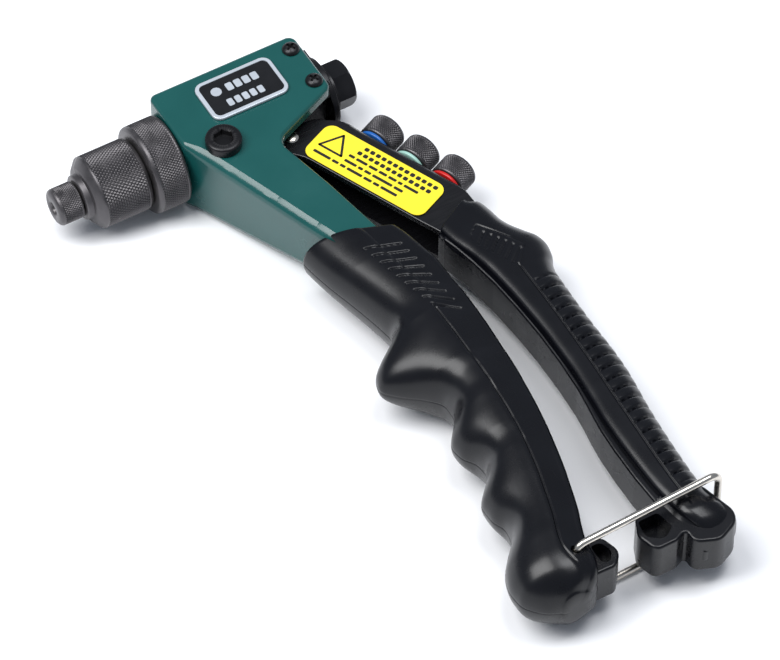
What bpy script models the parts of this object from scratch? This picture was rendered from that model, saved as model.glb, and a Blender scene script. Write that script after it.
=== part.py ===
"""Hand riveter, lying on its side: X runs along the barrel from nose to tail, the handles hang towards -Y, Z is up."""

import math

import bmesh
import bpy
import numpy as np
from mathutils import Vector

MM = 0.001
Z0 = 15.0  # height of the mid-plane, which also holds the barrel's axis
MIDDLE = (63.4, -103.7)  # middle of the plan view: the origin's place

# Head and arm
HEAD_FRONT, HEAD_REAR = 42.5, 95.2
HEAD_TOP, HEAD_HALF = 14.9, 15.0
ARM_HALF = 10.8
SLOT_HALF = 7.75
BORE_R = 9.3
PIVOT = (53.9, -14.7)
BOLT_R, BOLT_HEAD_R, BOLT_HEAD_H, BOLT_HEX = 3.0, 5.9, 3.2, 5.8

# Nose
NOSE_R, NOSE_L, STEM_R, STEM_L = 6.2, 8.4, 4.0, 6.6
SLEEVE_R, SLEEVE_X0, SLEEVE_X1, SPIGOT_R, SPIGOT_X1 = 12.2, 8.8, 30.2, 8.9, 46.8
COLLAR_R, COLLAR_X0, COLLAR_X1 = 14.9, 30.6, 42.1

# Pull train
CASE_R, CASE_X0, CASE_X1 = 7.7, 25.5, 51.5
TUBE_R, TUBE_BORE, TUBE_X0, TUBE_X1 = 4.9, 3.1, 47.2, 96.0
PULL_R, PULL_X0, PULL_X1 = 8.4, 59.3, 63.0
SPRING_X1 = 85.6

# Rear closure
FLANGE_R, FLANGE_X0, FLANGE_X1 = 12.0, 95.6, 98.0
CAP_X1, CAP_AF = 106.6, 14.0

# Lever
PLATE_HALF, PLATE_IN = 7.3, 5.3
LEVER_DIR = math.radians(-65.8)
SPARE_PITCH, SPARE_COUNT = 13.9, 3
RIB_COUNT, RIB_TOP, RIB_PITCH, RIB_DEPTH = 20, -106.5, 4.45, 0.9

# Bail
WIRE_R, BAIL_HALF = 1.2, 13.6
BAIL_HINGE, BAIL_END = (69.5, -202.7), (121.3, -201.0)


# ---------------------------------------------------------------- helpers
for old in list(bpy.data.objects):
    bpy.data.objects.remove(old, do_unlink=True)

MATERIALS = {}


def material(name, colour, metallic, roughness):
    if name not in MATERIALS:
        made = bpy.data.materials.new(name)
        made.use_nodes = True
        shader = made.node_tree.nodes["Principled BSDF"]
        shader.inputs["Base Color"].default_value = (*colour, 1)
        shader.inputs["Metallic"].default_value = metallic
        shader.inputs["Roughness"].default_value = roughness
        made.diffuse_color = (*colour, 1)
        MATERIALS[name] = made
    return MATERIALS[name]


GREEN = dict(colour=(0.015, 0.12, 0.095), metallic=0.0, roughness=0.25)
STEEL = dict(colour=(0.06, 0.055, 0.055), metallic=1.0, roughness=0.45)
BLACK_STEEL = dict(colour=(0.015, 0.015, 0.016), metallic=0.8, roughness=0.4)
BRIGHT = dict(colour=(0.55, 0.54, 0.52), metallic=1.0, roughness=0.25)
RUBBER = dict(colour=(0.018, 0.018, 0.02), metallic=0.0, roughness=0.45)
YELLOW = dict(colour=(0.85, 0.78, 0.04), metallic=0.0, roughness=0.4)
SILVER = dict(colour=(0.6, 0.62, 0.66), metallic=0.6, roughness=0.35)


def build(name, points, faces, look):
    """An object from points in millimetres."""
    mesh = bpy.data.meshes.new(name)
    mesh.from_pydata([(x * MM, y * MM, z * MM) for x, y, z in points], [], faces)
    work = bmesh.new()
    work.from_mesh(mesh)
    bmesh.ops.remove_doubles(work, verts=work.verts, dist=1e-7)
    bmesh.ops.recalc_face_normals(work, faces=work.faces)
    if work.calc_volume(signed=True) < 0:
        bmesh.ops.reverse_faces(work, faces=work.faces)
    work.to_mesh(mesh)
    work.free()
    made = bpy.data.objects.new(name, mesh)
    bpy.context.collection.objects.link(made)
    mesh.materials.append(material(name + "_mat", **look))
    return made


def smooth(made, angle=35):
    mesh = made.data
    for polygon in mesh.polygons:
        polygon.use_smooth = True
    mesh.set_sharp_from_angle(angle=math.radians(angle))
    return made


def boolean(target, other, operation="DIFFERENCE"):
    """Applies the Boolean at once and removes the other solid."""
    modifier = target.modifiers.new("cut", "BOOLEAN")
    modifier.operation = operation
    modifier.solver = "EXACT"
    modifier.object = other
    graph = bpy.context.evaluated_depsgraph_get()
    graph.update()
    result = bpy.data.meshes.new_from_object(target.evaluated_get(graph))
    target.modifiers.clear()
    target.data = result
    bpy.data.objects.remove(other, do_unlink=True)
    return target


def rounded(corners, step=18):
    """A polygon with each corner (x, y, radius) rounded: arcs of about step degrees per side."""
    out = []
    count = len(corners)
    for i, (x, y, r) in enumerate(corners):
        here = Vector((x, y))
        before = (Vector(corners[i - 1][:2]) - here).normalized()
        after = (Vector(corners[(i + 1) % count][:2]) - here).normalized()
        if r <= 0:
            out.append((x, y))
            continue
        half = before.angle(after) / 2
        shortest = min(math.dist(corners[i - 1][:2], (x, y)), math.dist(corners[(i + 1) % count][:2], (x, y)))
        r = min(r, 0.48 * shortest * math.tan(half))
        reach = r / math.tan(half)
        centre = here + (before + after).normalized() * (r / math.sin(half))
        start, end = here + before * reach - centre, here + after * reach - centre
        turn = start.angle_signed(end)
        parts = max(1, round(abs(math.degrees(turn)) / step))
        for k in range(parts + 1):
            a = -turn * k / parts
            out.append(
                (
                    centre.x + start.x * math.cos(a) - start.y * math.sin(a),
                    centre.y + start.x * math.sin(a) + start.y * math.cos(a),
                )
            )
    return out


def spline(stations, at):
    """Smooth curve through (t, value) stations, read at t (monotone cubic Hermite)."""
    t = np.array([s[0] for s in stations], float)
    v = np.array([s[1] for s in stations], float)
    if t[0] > t[-1]:
        t, v = t[::-1], v[::-1]
    h, d = np.diff(t), np.diff(v) / np.diff(t)
    m = np.zeros(len(t))
    m[0], m[-1] = d[0], d[-1]
    for i in range(1, len(t) - 1):
        if d[i - 1] * d[i] > 0:
            w0, w1 = 2 * h[i] + h[i - 1], h[i] + 2 * h[i - 1]
            m[i] = (w0 + w1) / (w0 / d[i - 1] + w1 / d[i])
    at = float(min(max(at, t[0]), t[-1]))
    i = int(min(max(np.searchsorted(t, at) - 1, 0), len(h) - 1))
    s = (at - t[i]) / h[i]
    return float(
        (1 + 2 * s) * (1 - s) ** 2 * v[i]
        + s * (1 - s) ** 2 * h[i] * m[i]
        + s * s * (3 - 2 * s) * v[i + 1]
        + s * s * (s - 1) * h[i] * m[i + 1]
    )


def inward(outline):
    """Unit inward mitre of a counterclockwise outline at each point, with its length factor."""
    out = []
    count = len(outline)
    for i in range(count):
        a, b, c = outline[i - 1], outline[i], outline[(i + 1) % count]
        n1 = Vector((-(b[1] - a[1]), b[0] - a[0])).normalized()
        n2 = Vector((-(c[1] - b[1]), c[0] - b[0])).normalized()
        mean = n1 + n2
        if mean.length < 1e-6:
            mean = n1
        mean.normalize()
        out.append(mean / max(0.4, mean.dot(n1)))
    return out


def area(outline):
    return 0.5 * sum(
        outline[i - 1][0] * outline[i][1] - outline[i][0] * outline[i - 1][1]
        for i in range(len(outline))
    )


def plate(name, outline, look, low, high, radius=0.0, arcs=1):
    """A slab of an outline. low, high and radius are numbers or functions of (x, y); the rims are rounded by radius."""
    if area(outline) < 0:
        outline = outline[::-1]
    value = lambda f, p: f(*p) if callable(f) else f
    turn = inward(outline)
    rings = []
    steps = [0] if arcs == 0 else [90 * k / arcs for k in range(arcs + 1)]
    for side in (-1, 1):
        order = steps[::-1] if side < 0 else steps
        for angle in order:
            c, s = math.cos(math.radians(angle)), math.sin(math.radians(angle))
            ring = []
            for p, n in zip(outline, turn):
                r = value(radius, p)
                q = (p[0] + n.x * r * (1 - c), p[1] + n.y * r * (1 - c))
                edge = value(high, p) if side > 0 else value(low, p)
                ring.append((*q, edge - side * r * (1 - s)))
            rings.append(ring)
    count = len(outline)
    points = [p for ring in rings for p in ring]
    faces = []
    for k in range(len(rings) - 1):
        for i in range(count):
            j = (i + 1) % count
            faces.append((k * count + i, k * count + j, (k + 1) * count + j, (k + 1) * count + i))
    faces.append(tuple(range(count))[::-1])
    faces.append(tuple((len(rings) - 1) * count + i for i in range(count)))
    return build(name, points, faces, look)


def frame_of(direction):
    along = Vector(direction).normalized()
    side = Vector((0, 0, 1)).cross(along)
    if side.length < 1e-6:
        side = Vector((1, 0, 0))
    side.normalize()
    return along, side, along.cross(side)


def lathe(name, profile, look, origin=(0, 0, Z0), direction=(1, 0, 0), sides=32, start=0.0):
    """Turns a closed profile of (distance along the axis, radius). Points with radius 0 lie on the axis."""
    along, side, up = frame_of(direction)
    origin = Vector(origin)
    points, index = [], []
    for s, r in profile:
        if r < 1e-6:
            index.append([len(points)] * sides)
            points.append(tuple(origin + along * s))
            continue
        index.append(list(range(len(points), len(points) + sides)))
        for k in range(sides):
            a = 2 * math.pi * (k + start) / sides
            points.append(tuple(origin + along * s + side * (r * math.cos(a)) + up * (r * math.sin(a))))
    faces = []
    for k in range(len(profile)):
        a, b = index[k], index[(k + 1) % len(profile)]
        for i in range(sides):
            j = (i + 1) % sides
            face = []
            for v in (a[i], a[j], b[j], b[i]):
                if v not in face:
                    face.append(v)
            if len(face) > 2:
                faces.append(tuple(face))
    return smooth(build(name, points, faces, look))


def loft(name, rings, look, flat_ends=True):
    """Joins closed rings of equal length and closes both ends."""
    count = len(rings[0])
    points = [p for ring in rings for p in ring]
    faces = []
    for k in range(len(rings) - 1):
        for i in range(count):
            j = (i + 1) % count
            faces.append((k * count + i, k * count + j, (k + 1) * count + j, (k + 1) * count + i))
    for k, ring in ((0, rings[0]), (len(rings) - 1, rings[-1])):
        centre = tuple(sum(p[a] for p in ring) / count for a in range(3))
        points.append(centre)
        for i in range(count):
            faces.append((k * count + i, k * count + (i + 1) % count, len(points) - 1))
    return build(name, points, faces, look)


def sweep(name, path, radius, look, sides=10):
    """A round wire along a path of points."""
    path = [Vector(p) for p in path]
    rings, side = [], None
    for i, p in enumerate(path):
        if i == 0:
            along = path[1] - p
        elif i == len(path) - 1:
            along = p - path[-2]
        else:
            along = (path[i + 1] - p).normalized() + (p - path[i - 1]).normalized()
        along.normalize()
        if side is None:
            side = along.orthogonal()
        side = (side - along * side.dot(along)).normalized()
        up = along.cross(side)
        rings.append(
            [
                tuple(p + side * (radius * math.cos(a)) + up * (radius * math.sin(a)))
                for a in (2 * math.pi * k / sides for k in range(sides))
            ]
        )
    return smooth(loft(name, rings, look), 50)


def turned_path(corners, radius, parts=4):
    """Straight runs between corners in space, joined by arcs."""
    points = [Vector(c) for c in corners]
    out = [tuple(points[0])]
    for a, b, c in zip(points, points[1:], points[2:]):
        before, after = (a - b).normalized(), (c - b).normalized()
        half = before.angle(after) / 2
        reach = radius / math.tan(half)
        centre = b + (before + after).normalized() * (radius / math.sin(half))
        start, end = b + before * reach - centre, b + after * reach - centre
        sweep_angle = start.angle(end)
        for k in range(parts + 1):
            a = sweep_angle * k / parts
            out.append(tuple(centre + (start * math.sin(sweep_angle - a) + end * math.sin(a)) / math.sin(sweep_angle)))
    out.append(tuple(points[-1]))
    return out


def block(name, low, high, look=STEEL):
    (x0, y0, z0), (x1, y1, z1) = low, high
    return plate(name, [(x0, y0), (x1, y0), (x1, y1), (x0, y1)], look, z0, z1, 0, 0)


def hexagon(across, turn=0.0, centre=(0.0, 0.0)):
    r = across / 2 / math.cos(math.pi / 6)
    return [
        (centre[0] + r * math.cos(turn + math.pi * k / 3), centre[1] + r * math.sin(turn + math.pi * k / 3))
        for k in range(6)
    ]


def post(name, x, y, z_low, z_high, r, look=STEEL, sides=24):
    return lathe(name, [(z_low, 0), (z_low, r), (z_high, r), (z_high, 0)], look, (x, y, 0), (0, 0, 1), sides)


# ---------------------------------------------------------------- frame casting
ARM_FRONT = ((43.3, -8.0), (66.6, -64.6))


def head_half(x, y):
    """Half the casting's thickness: full at the head, thinning down the arm."""
    t = min(max((-17.0 - y) / 50.0, 0.0), 1.0)
    return HEAD_HALF + (ARM_HALF - HEAD_HALF) * (t * t * (3 - 2 * t) * 0.35 + t * 0.65)


def arm_outline():
    corners = [
        (HEAD_FRONT, HEAD_TOP, 2.5),
        (HEAD_FRONT, -8.6, 5.0),
        (67.6, -67.0, 0),
        (70.4, -73.6, 0),
        (83.9, -77.3, 0),
        (82.1, -68.9, 0),
        (76.2, -44.2, 60.0),
        (69.7, -21.6, 4.5),
        (HEAD_REAR, -10.4, 3.6),
        (HEAD_REAR, HEAD_TOP, 3.0),
    ]
    return rounded(corners)


def split(outline, length):
    """Adds points so that no side is longer than length."""
    out = []
    for i, b in enumerate(outline):
        a = outline[i - 1]
        parts = max(1, math.ceil(math.dist(a, b) / length))
        out += [(a[0] + (b[0] - a[0]) * k / parts, a[1] + (b[1] - a[1]) * k / parts) for k in range(1, parts + 1)]
    return out


def slab_strips(name, outline, look, radius, arcs, rows):
    """The casting's slab: its faces follow head_half, so the caps are cut into rows at each y of rows."""
    made = plate(
        name,
        split(outline, 12),
        look,
        lambda x, y: Z0 - head_half(x, y),
        lambda x, y: Z0 + head_half(x, y),
        radius,
        arcs,
    )
    work = bmesh.new()
    work.from_mesh(made.data)
    for y in rows:
        everything = list(work.verts) + list(work.edges) + list(work.faces)
        bmesh.ops.bisect_plane(work, geom=everything, plane_co=(0, y * MM, 0), plane_no=(0, 1, 0), dist=1e-7)
    tall = 0.0
    for v in work.verts:
        x, y, z = (c / MM for c in v.co)
        if abs(abs(v.normal.z) - 1) < 0.5 and abs(z - Z0) > 8:
            inside = all(abs(f.normal.z) > 0.7 for f in v.link_faces)
            if inside:
                v.co.z = (Z0 + math.copysign(head_half(x, y), z - Z0)) * MM
        tall = max(tall, abs(z - Z0))
    work.to_mesh(made.data)
    work.free()
    return made


TONGUE = [
    (70.0, -66.0, 0), (74.6, -90.0, 20), (76.2, -112.0, 20), (75.4, -135.0, 20), (72.6, -157.0, 20),
    (68.2, -178.0, 4), (75.8, -181.0, 4), (81.4, -160.0, 20), (84.6, -137.0, 20), (85.4, -112.0, 20),
    (84.4, -90.0, 20), (80.6, -66.0, 0),
]


def tongue_outline(grow=0.0):
    line = rounded(TONGUE, 30)
    if area(line) < 0:
        line = line[::-1]
    return [(p[0] - n.x * grow, p[1] - n.y * grow) for p, n in zip(line, inward(line))]


def casting():
    body = slab_strips("frame_casting", arm_outline(), GREEN, 1.2, 2, (-17, -24, -32, -42, -54, -66))
    boolean(body, plate("tongue", tongue_outline(), GREEN, Z0 - 8, Z0 + 8, 0, 0), "UNION")
    # bore along the barrel and the seat of the sleeve's spigot
    boolean(body, lathe("bore", [(40, 0), (40, BORE_R), (99, BORE_R), (99, 0)], STEEL, sides=32))
    # slot for the lever: open at the back of the arm and under the head
    slot = [
        (46.4, 6.5), (46.4, -10.0), (47.6, -14.7), (50.6, -21.6), (68.2, -59.5), (90.0, -59.5), (100.0, -30.0), (100.0, 6.5)
    ]
    boolean(body, plate("slot", slot, STEEL, Z0 - SLOT_HALF, Z0 + SLOT_HALF, 0, 0))
    # wider chamber at the back for the rear plug
    boolean(body, block("chamber", (72.4, -30.0, Z0 - 11.1), (110.0, 10.4, Z0 + 11.1)))
    # pivot bolt's bore, its counterbore below and the screws' holes
    boolean(body, post("hole", *PIVOT, -5, 40, BOLT_R + 0.3))
    nut = plate("nut_seat", hexagon(10.6, 0.3, PIVOT), STEEL, -5.0, 3.4, 0, 0)
    boolean(body, nut)
    for x, y in SCREWS:
        boolean(body, post("hole", x, y, Z0 + 5, 40, 1.8, sides=12))
    return smooth(body, 30)


SCREWS = ((91.4, 9.0), (91.4, -6.2))
casting()

# ---------------------------------------------------------------- nameplate
NAMEPLATE_CENTRE, NAMEPLATE_SIZE = (69.6, 2.0), (27.4, 16.6)


def tilted_box(centre, size, radius, angle=0.0, step=30, trim=0.0):
    w, h = size[0] / 2 - trim, size[1] / 2 - trim
    r = max(radius - trim, 0.3)
    c, s = math.cos(angle), math.sin(angle)
    return [
        (centre[0] + x * c - y * s, centre[1] + x * s + y * c)
        for x, y in rounded([(-w, -h, r), (w, -h, r), (w, h, r), (-w, h, r)], step)
    ]


plate_outer = tilted_box(NAMEPLATE_CENTRE, NAMEPLATE_SIZE, 3.2)
nameplate = plate("nameplate_border", plate_outer, SILVER, 30.3, 31.2, 0.3, 1)
boolean(nameplate, plate("well", tilted_box(NAMEPLATE_CENTRE, NAMEPLATE_SIZE, 3.2, trim=1.3), SILVER, 30.75, 33, 0, 0))
plate("nameplate_field", tilted_box(NAMEPLATE_CENTRE, NAMEPLATE_SIZE, 3.2, trim=1.5), BLACK_STEEL, 31.05, 31.25, 0, 0)

# ---------------------------------------------------------------- pivot: bolt, bush and nut
bolt = lathe(
    "pivot_bolt",
    [(1.0, 0), (1.0, BOLT_R - 0.3), (1.3, BOLT_R), (30.3, BOLT_R), (30.3, BOLT_HEAD_R - 0.2), (30.5, BOLT_HEAD_R),
     (32.4, BOLT_HEAD_R), (30.3 + BOLT_HEAD_H, BOLT_HEAD_R - 0.8), (30.3 + BOLT_HEAD_H, 0)],
    BLACK_STEEL, (*PIVOT, 0), (0, 0, 1), 28,
)
boolean(bolt, plate("socket", hexagon(BOLT_HEX, 0.2, PIVOT), STEEL, 31.1, 36, 0, 0))
smooth(bolt)
lathe("pivot_bush", [(Z0 - 4.9, BOLT_R + 0.3), (Z0 + 4.9, BOLT_R + 0.3), (Z0 + 4.9, 5.2), (Z0 - 4.9, 5.2)],
      BRIGHT, (*PIVOT, 0), (0, 0, 1), 24)
nut = plate("pivot_nut", hexagon(10.0, 0.3, PIVOT), BLACK_STEEL, 0.3, 3.1, 0.4, 1)
boolean(nut, post("hole", *PIVOT, -5, 9, BOLT_R + 0.3))

# ---------------------------------------------------------------- nose
def nosepiece(name, origin, direction, sides=18):
    """Knurled head with a crowned face and a threaded stem; the mandrel's bore runs through."""
    bore = 1.9
    return lathe(
        name,
        [(0.0, bore + 0.9), (0.0, NOSE_R - 1.0), (0.35, NOSE_R - 0.35), (0.9, NOSE_R), (NOSE_L - 0.5, NOSE_R),
         (NOSE_L, NOSE_R - 0.5), (NOSE_L, STEM_R), (NOSE_L + STEM_L - 0.6, STEM_R), (NOSE_L + STEM_L, STEM_R - 0.6),
         (NOSE_L + STEM_L, bore), (1.0, bore)],
        STEEL, origin, direction, sides,
    )


nosepiece("nosepiece_fitted", (0, 0, Z0), (1, 0, 0))
lathe(
    "nose_sleeve",
    [(SLEEVE_X0, 4.3), (SLEEVE_X0, 7.2), (SLEEVE_X0 + 0.4, 7.6), (10.9, 7.6), (10.9, 9.4), (13.4, SLEEVE_R - 0.2),
     (13.7, SLEEVE_R), (SLEEVE_X1 - 1.2, SLEEVE_R), (SLEEVE_X1, SLEEVE_R - 1.2), (SLEEVE_X1, SPIGOT_R),
     (SPIGOT_X1 - 0.4, SPIGOT_R), (SPIGOT_X1, SPIGOT_R - 0.4), (SPIGOT_X1, 8.05), (22.6, 8.05), (15.8, 5.2), (15.8, 4.3)],
    STEEL, sides=30,
)
lathe(
    "lock_collar",
    [(COLLAR_X0, SPIGOT_R + 0.4), (COLLAR_X0, COLLAR_R - 1.0), (COLLAR_X0 + 0.8, COLLAR_R), (COLLAR_X1 - 0.6, COLLAR_R),
     (COLLAR_X1, COLLAR_R - 0.6), (COLLAR_X1, SPIGOT_R + 0.4)],
    STEEL, sides=36,
)

# ---------------------------------------------------------------- pull train
lathe(
    "jaw_case",
    [(CASE_X0, 3.6), (CASE_X0, 5.2), (29.2, CASE_R), (CASE_X1 - 0.4, CASE_R), (CASE_X1, CASE_R - 0.4),
     (CASE_X1, 5.9), (36.8, 5.9)],
    BRIGHT, sides=28,
)


def jaw(name, side):
    """Half of a split cone with a bore; the two halves face each other across a gap."""
    cone = lathe(name, [(26.6, 1.5), (26.6, 3.2 + 0.1), (36.4, 5.3), (36.4, 1.5)], BRIGHT, sides=24)
    low, high = ((20, -20, Z0 - 20), (60, 20, Z0 + 0.35)) if side > 0 else ((20, -20, Z0 - 0.35), (60, 20, Z0 + 20))
    return smooth(boolean(cone, block("half", low, high)))


jaw("jaw_upper", 1)
jaw("jaw_lower", -1)
lathe("jaw_pusher", [(36.9, 2.2), (36.9, 4.6), (38.4, 5.4), (39.2, 5.4), (39.2, 2.9), (49.5, 2.9), (49.5, 2.2)],
      BRIGHT, sides=24)


def coil(name, x0, x1, mean, wire, turns, per_turn, sides, look, flat=0.0):
    path = []
    count = turns * per_turn
    for k in range(count + 1):
        a = 2 * math.pi * k / per_turn
        path.append((x0 + wire + (x1 - x0 - 2 * wire) * k / count, mean * math.cos(a), Z0 + mean * math.sin(a)))
    return sweep(name, path, wire, look, sides)


coil("jaw_spring", 39.5, 46.9, 4.35, 0.55, 3, 10, 5, BRIGHT)
lathe(
    "draw_tube",
    [(TUBE_X0, 3.2), (TUBE_X0, 5.6), (51.6, 5.6), (51.8, TUBE_R), (PULL_X0, TUBE_R), (PULL_X0, PULL_R - 0.5),
     (PULL_X0 + 0.5, PULL_R), (PULL_X1 - 0.5, PULL_R), (PULL_X1, PULL_R - 0.5), (PULL_X1, TUBE_R),
     (TUBE_X1, TUBE_R), (TUBE_X1, 3.2)],
    BRIGHT, sides=28,
)
coil("return_spring", PULL_X1 + 0.3, SPRING_X1, 6.2, 0.75, 5, 10, 5, BRIGHT)

# ---------------------------------------------------------------- rear plug, cap and screws
plug = block("rear_plug", (86.0, -6.4, Z0 - 10.8), (FLANGE_X1 - 1.0, 10.1, Z0 + 10.8), BLACK_STEEL)
boolean(plug, lathe("disc", [(FLANGE_X0, 0), (FLANGE_X0, FLANGE_R - 0.4), (FLANGE_X0 + 0.4, FLANGE_R),
                             (FLANGE_X1 - 0.4, FLANGE_R), (FLANGE_X1, FLANGE_R - 0.4), (FLANGE_X1, 0)],
                    BLACK_STEEL, sides=30), "UNION")
for side in (-1, 1):
    z = sorted((Z0 + side * 8.1, Z0 + side * 10.8))
    boolean(plug, block("lug", (86.0, -9.4, z[0]), (95.2, -6.0, z[1])), "UNION")
for x, y in SCREWS:
    boolean(plug, post("hole", x, y, Z0 + 8.0, Z0 + 20.0, 1.8, sides=12))
boolean(plug, lathe("bore", [(80, 0), (80, TUBE_R + 0.35), (120, TUBE_R + 0.35), (120, 0)], STEEL, sides=28))
smooth(plug, 30)

cap = lathe(
    "rear_cap",
    [(FLANGE_X1 + 0.3, 3.4), (FLANGE_X1 + 0.3, 7.6), (FLANGE_X1 + 0.9, 8.1), (CAP_X1 - 1.1, 8.1), (CAP_X1, 6.9), (CAP_X1, 3.4)],
    BLACK_STEEL, sides=30,
)


def hex_flats(target, x_from, x_to, across, turn):
    """Planes the six flats onto a turned head that lies along X."""
    for k in range(6):
        a = turn + math.pi * k / 3
        c, s = math.cos(a), math.sin(a)
        far, wide = across / 2 + 6, 12
        square = [(across / 2, -wide), (far, -wide), (far, wide), (across / 2, wide)]
        corner = [(u * c - v * s, Z0 + u * s + v * c) for u, v in square]
        points = [(x_from, y, z) for y, z in corner] + [(x_to, y, z) for y, z in corner]
        faces = [(0, 1, 2, 3), (7, 6, 5, 4), (0, 4, 5, 1), (1, 5, 6, 2), (2, 6, 7, 3), (3, 7, 4, 0)]
        boolean(target, build("flat", points, faces, STEEL))
    return target


smooth(hex_flats(cap, FLANGE_X1 + 1.6, CAP_X1 + 3, CAP_AF, 0.35), 25)


def cross_screw(name, x, y, side):
    """Pan-head screw with a cross recess; side is +1 for the upper cheek."""
    up = lambda d: Z0 + side * d
    head = HEAD_HALF + 0.3
    profile = [(up(8.4), 0), (up(8.4), 1.4), (up(head), 1.4), (up(head), 2.85), (up(head + 0.5), 2.8), (up(head + 1.2), 2.2),
               (up(head + 1.6), 1.2), (up(head + 1.7), 0)]
    screw = lathe(name, profile, BLACK_STEEL, (x, y, 0), (0, 0, 1), 16)
    for turn in (0.5, 0.5 + math.pi / 2):
        arm = plate("recess", tilted_box((x, y), (3.0, 0.7), 0.05, turn, 60),
                    STEEL, *sorted((up(head + 0.7), up(head + 4))), 0, 0)
        boolean(screw, arm)
    return smooth(screw)


for n, (x, y) in enumerate(SCREWS):
    cross_screw(f"rear_screw_upper_{n + 1}", x, y, 1)

# ---------------------------------------------------------------- lever channel
along = (math.cos(LEVER_DIR), math.sin(LEVER_DIR))
out = (-along[1], along[0])


def lever_point(s, t):
    """A point s down the lever from its top and t outward from the plate's front edge."""
    return (76.6 + along[0] * s + out[0] * t, -26.6 + along[1] * s + out[1] * t)


LEVER_W = 20.6
FORK = (PIVOT[0] + 17.5 * math.sin(math.radians(7.75)), PIVOT[1] + 17.5 * math.cos(math.radians(7.75)))


def lever_outline():
    ear, tip = 5.0, 2.6
    corners = [
        (FORK[0] - tip, FORK[1] + tip, tip), (52.3, -6.4, 3.0), (PIVOT[0] - ear, -10.2, 2.0), (PIVOT[0] - ear, PIVOT[1] - ear, ear),
        (PIVOT[0] + 6.0, PIVOT[1] - ear, 6.0), (71.3, -21.0, 6.0),
        (*lever_point(0, 0), 10.0), (*lever_point(44, 0), 20.0), (101.6, -81.0, 20.0), (104.9, -100.0, 20.0), (106.5, -120.0, 20.0), (106.4, -186.0, 2.0),
        (113.6, -186.0, 2.0), (114.4, -120.0, 20.0), (114.3, -84.0, 20.0), (*lever_point(44.5, LEVER_W), 10.0), (*lever_point(3.0, LEVER_W), 3.0),
        (*lever_point(-8.0, 14.0), 6.0), (81.0, -13.8, 8.0), (61.0, -9.9, 2.0), (56.2, -9.2, 1.5),
        (56.2, -6.6, 2.0), (FORK[0] + tip, FORK[1] + tip, tip),
    ]
    return rounded(corners, 32)


def back_round(x, y):
    """Rounding of the channel's bends: wide along the back, small elsewhere."""
    s = (x - 76.6) * along[0] + (y + 26.6) * along[1]
    t = (x - 76.6) * out[0] + (y + 26.6) * out[1]
    if 0 < s < 49 and t > 15:
        return 3.6 * min(1.0, s / 4.0, (49.0 - s) / 6.0 + 0.2)
    return 0.3


channel = plate("lever_channel", split(lever_outline(), 22), BLACK_STEEL, Z0 - PLATE_HALF, Z0 + PLATE_HALF, back_round, 2)
inner = rounded(
    [
        (40, 20, 0), (40, -60, 0), (88, -84.0, 0), (99, -192, 0), (111.4, -192.0, 0), (112.2, -120.0, 20.0), (112.0, -84.0, 20.0),
        (*lever_point(44.5, LEVER_W - 2.2), 10.0), (*lever_point(4.0, LEVER_W - 2.2), 2.0), (*lever_point(-2.5, 15.5), 2.0), (90, 20, 0),
    ]
)
boolean(channel, plate("hollow", inner, STEEL, Z0 - PLATE_IN, Z0 + PLATE_IN, 0, 0))
boolean(channel, post("hole", *PIVOT, -5, 40, BOLT_R + 0.3))
LEVER_PIN = (76.6, -17.4)
boolean(channel, post("hole", *LEVER_PIN, -5, 40, 1.9, sides=16))
spare_at = []
for k in range(SPARE_COUNT):
    spare_at.append(lever_point(11.2 + SPARE_PITCH * k, LEVER_W + 0.3))
for x, y in spare_at:
    boolean(channel, lathe("hole", [(-12, 0), (-12, STEM_R + 0.4), (6, STEM_R + 0.4), (6, 0)], STEEL, (x, y, Z0), (*out, 0), 18))
smooth(channel, 30)

lathe("lever_pin",
      [(Z0 - 8.4, 0), (Z0 - 8.3, 1.3), (Z0 - 7.6, 2.4), (Z0 - 7.6, 1.6), (Z0 + 7.6, 1.6), (Z0 + 7.6, 2.4), (Z0 + 8.3, 1.3), (Z0 + 8.4, 0)],
      BRIGHT, (*LEVER_PIN, 0), (0, 0, 1), 16)

label_centre = lever_point(21.1, 8.1)
plate("lever_label", tilted_box(label_centre, (46.2, 15.2), 3.4, LEVER_DIR, 22), YELLOW, Z0 + PLATE_HALF + 0.3, Z0 + PLATE_HALF + 0.6, 0, 0)

RINGS = (("ring_blue", (0.05, 0.18, 0.45)), ("ring_pale", (0.45, 0.68, 0.62)), ("ring_red", (0.6, 0.05, 0.05)))
for k, ((x, y), (name, colour)) in enumerate(zip(spare_at, RINGS)):
    lathe(name, [(0.0, STEM_R + 0.3), (1.0, STEM_R + 0.3), (1.0, NOSE_R - 0.5), (0.0, NOSE_R - 0.5)],
          dict(colour=colour, metallic=0.0, roughness=0.4), (x, y, Z0), (*out, 0), 20)
    far = 1.3 + NOSE_L
    nosepiece(f"spare_nosepiece_{k + 1}", (x + out[0] * far, y + out[1] * far, Z0), (-out[0], -out[1], 0))

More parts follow.
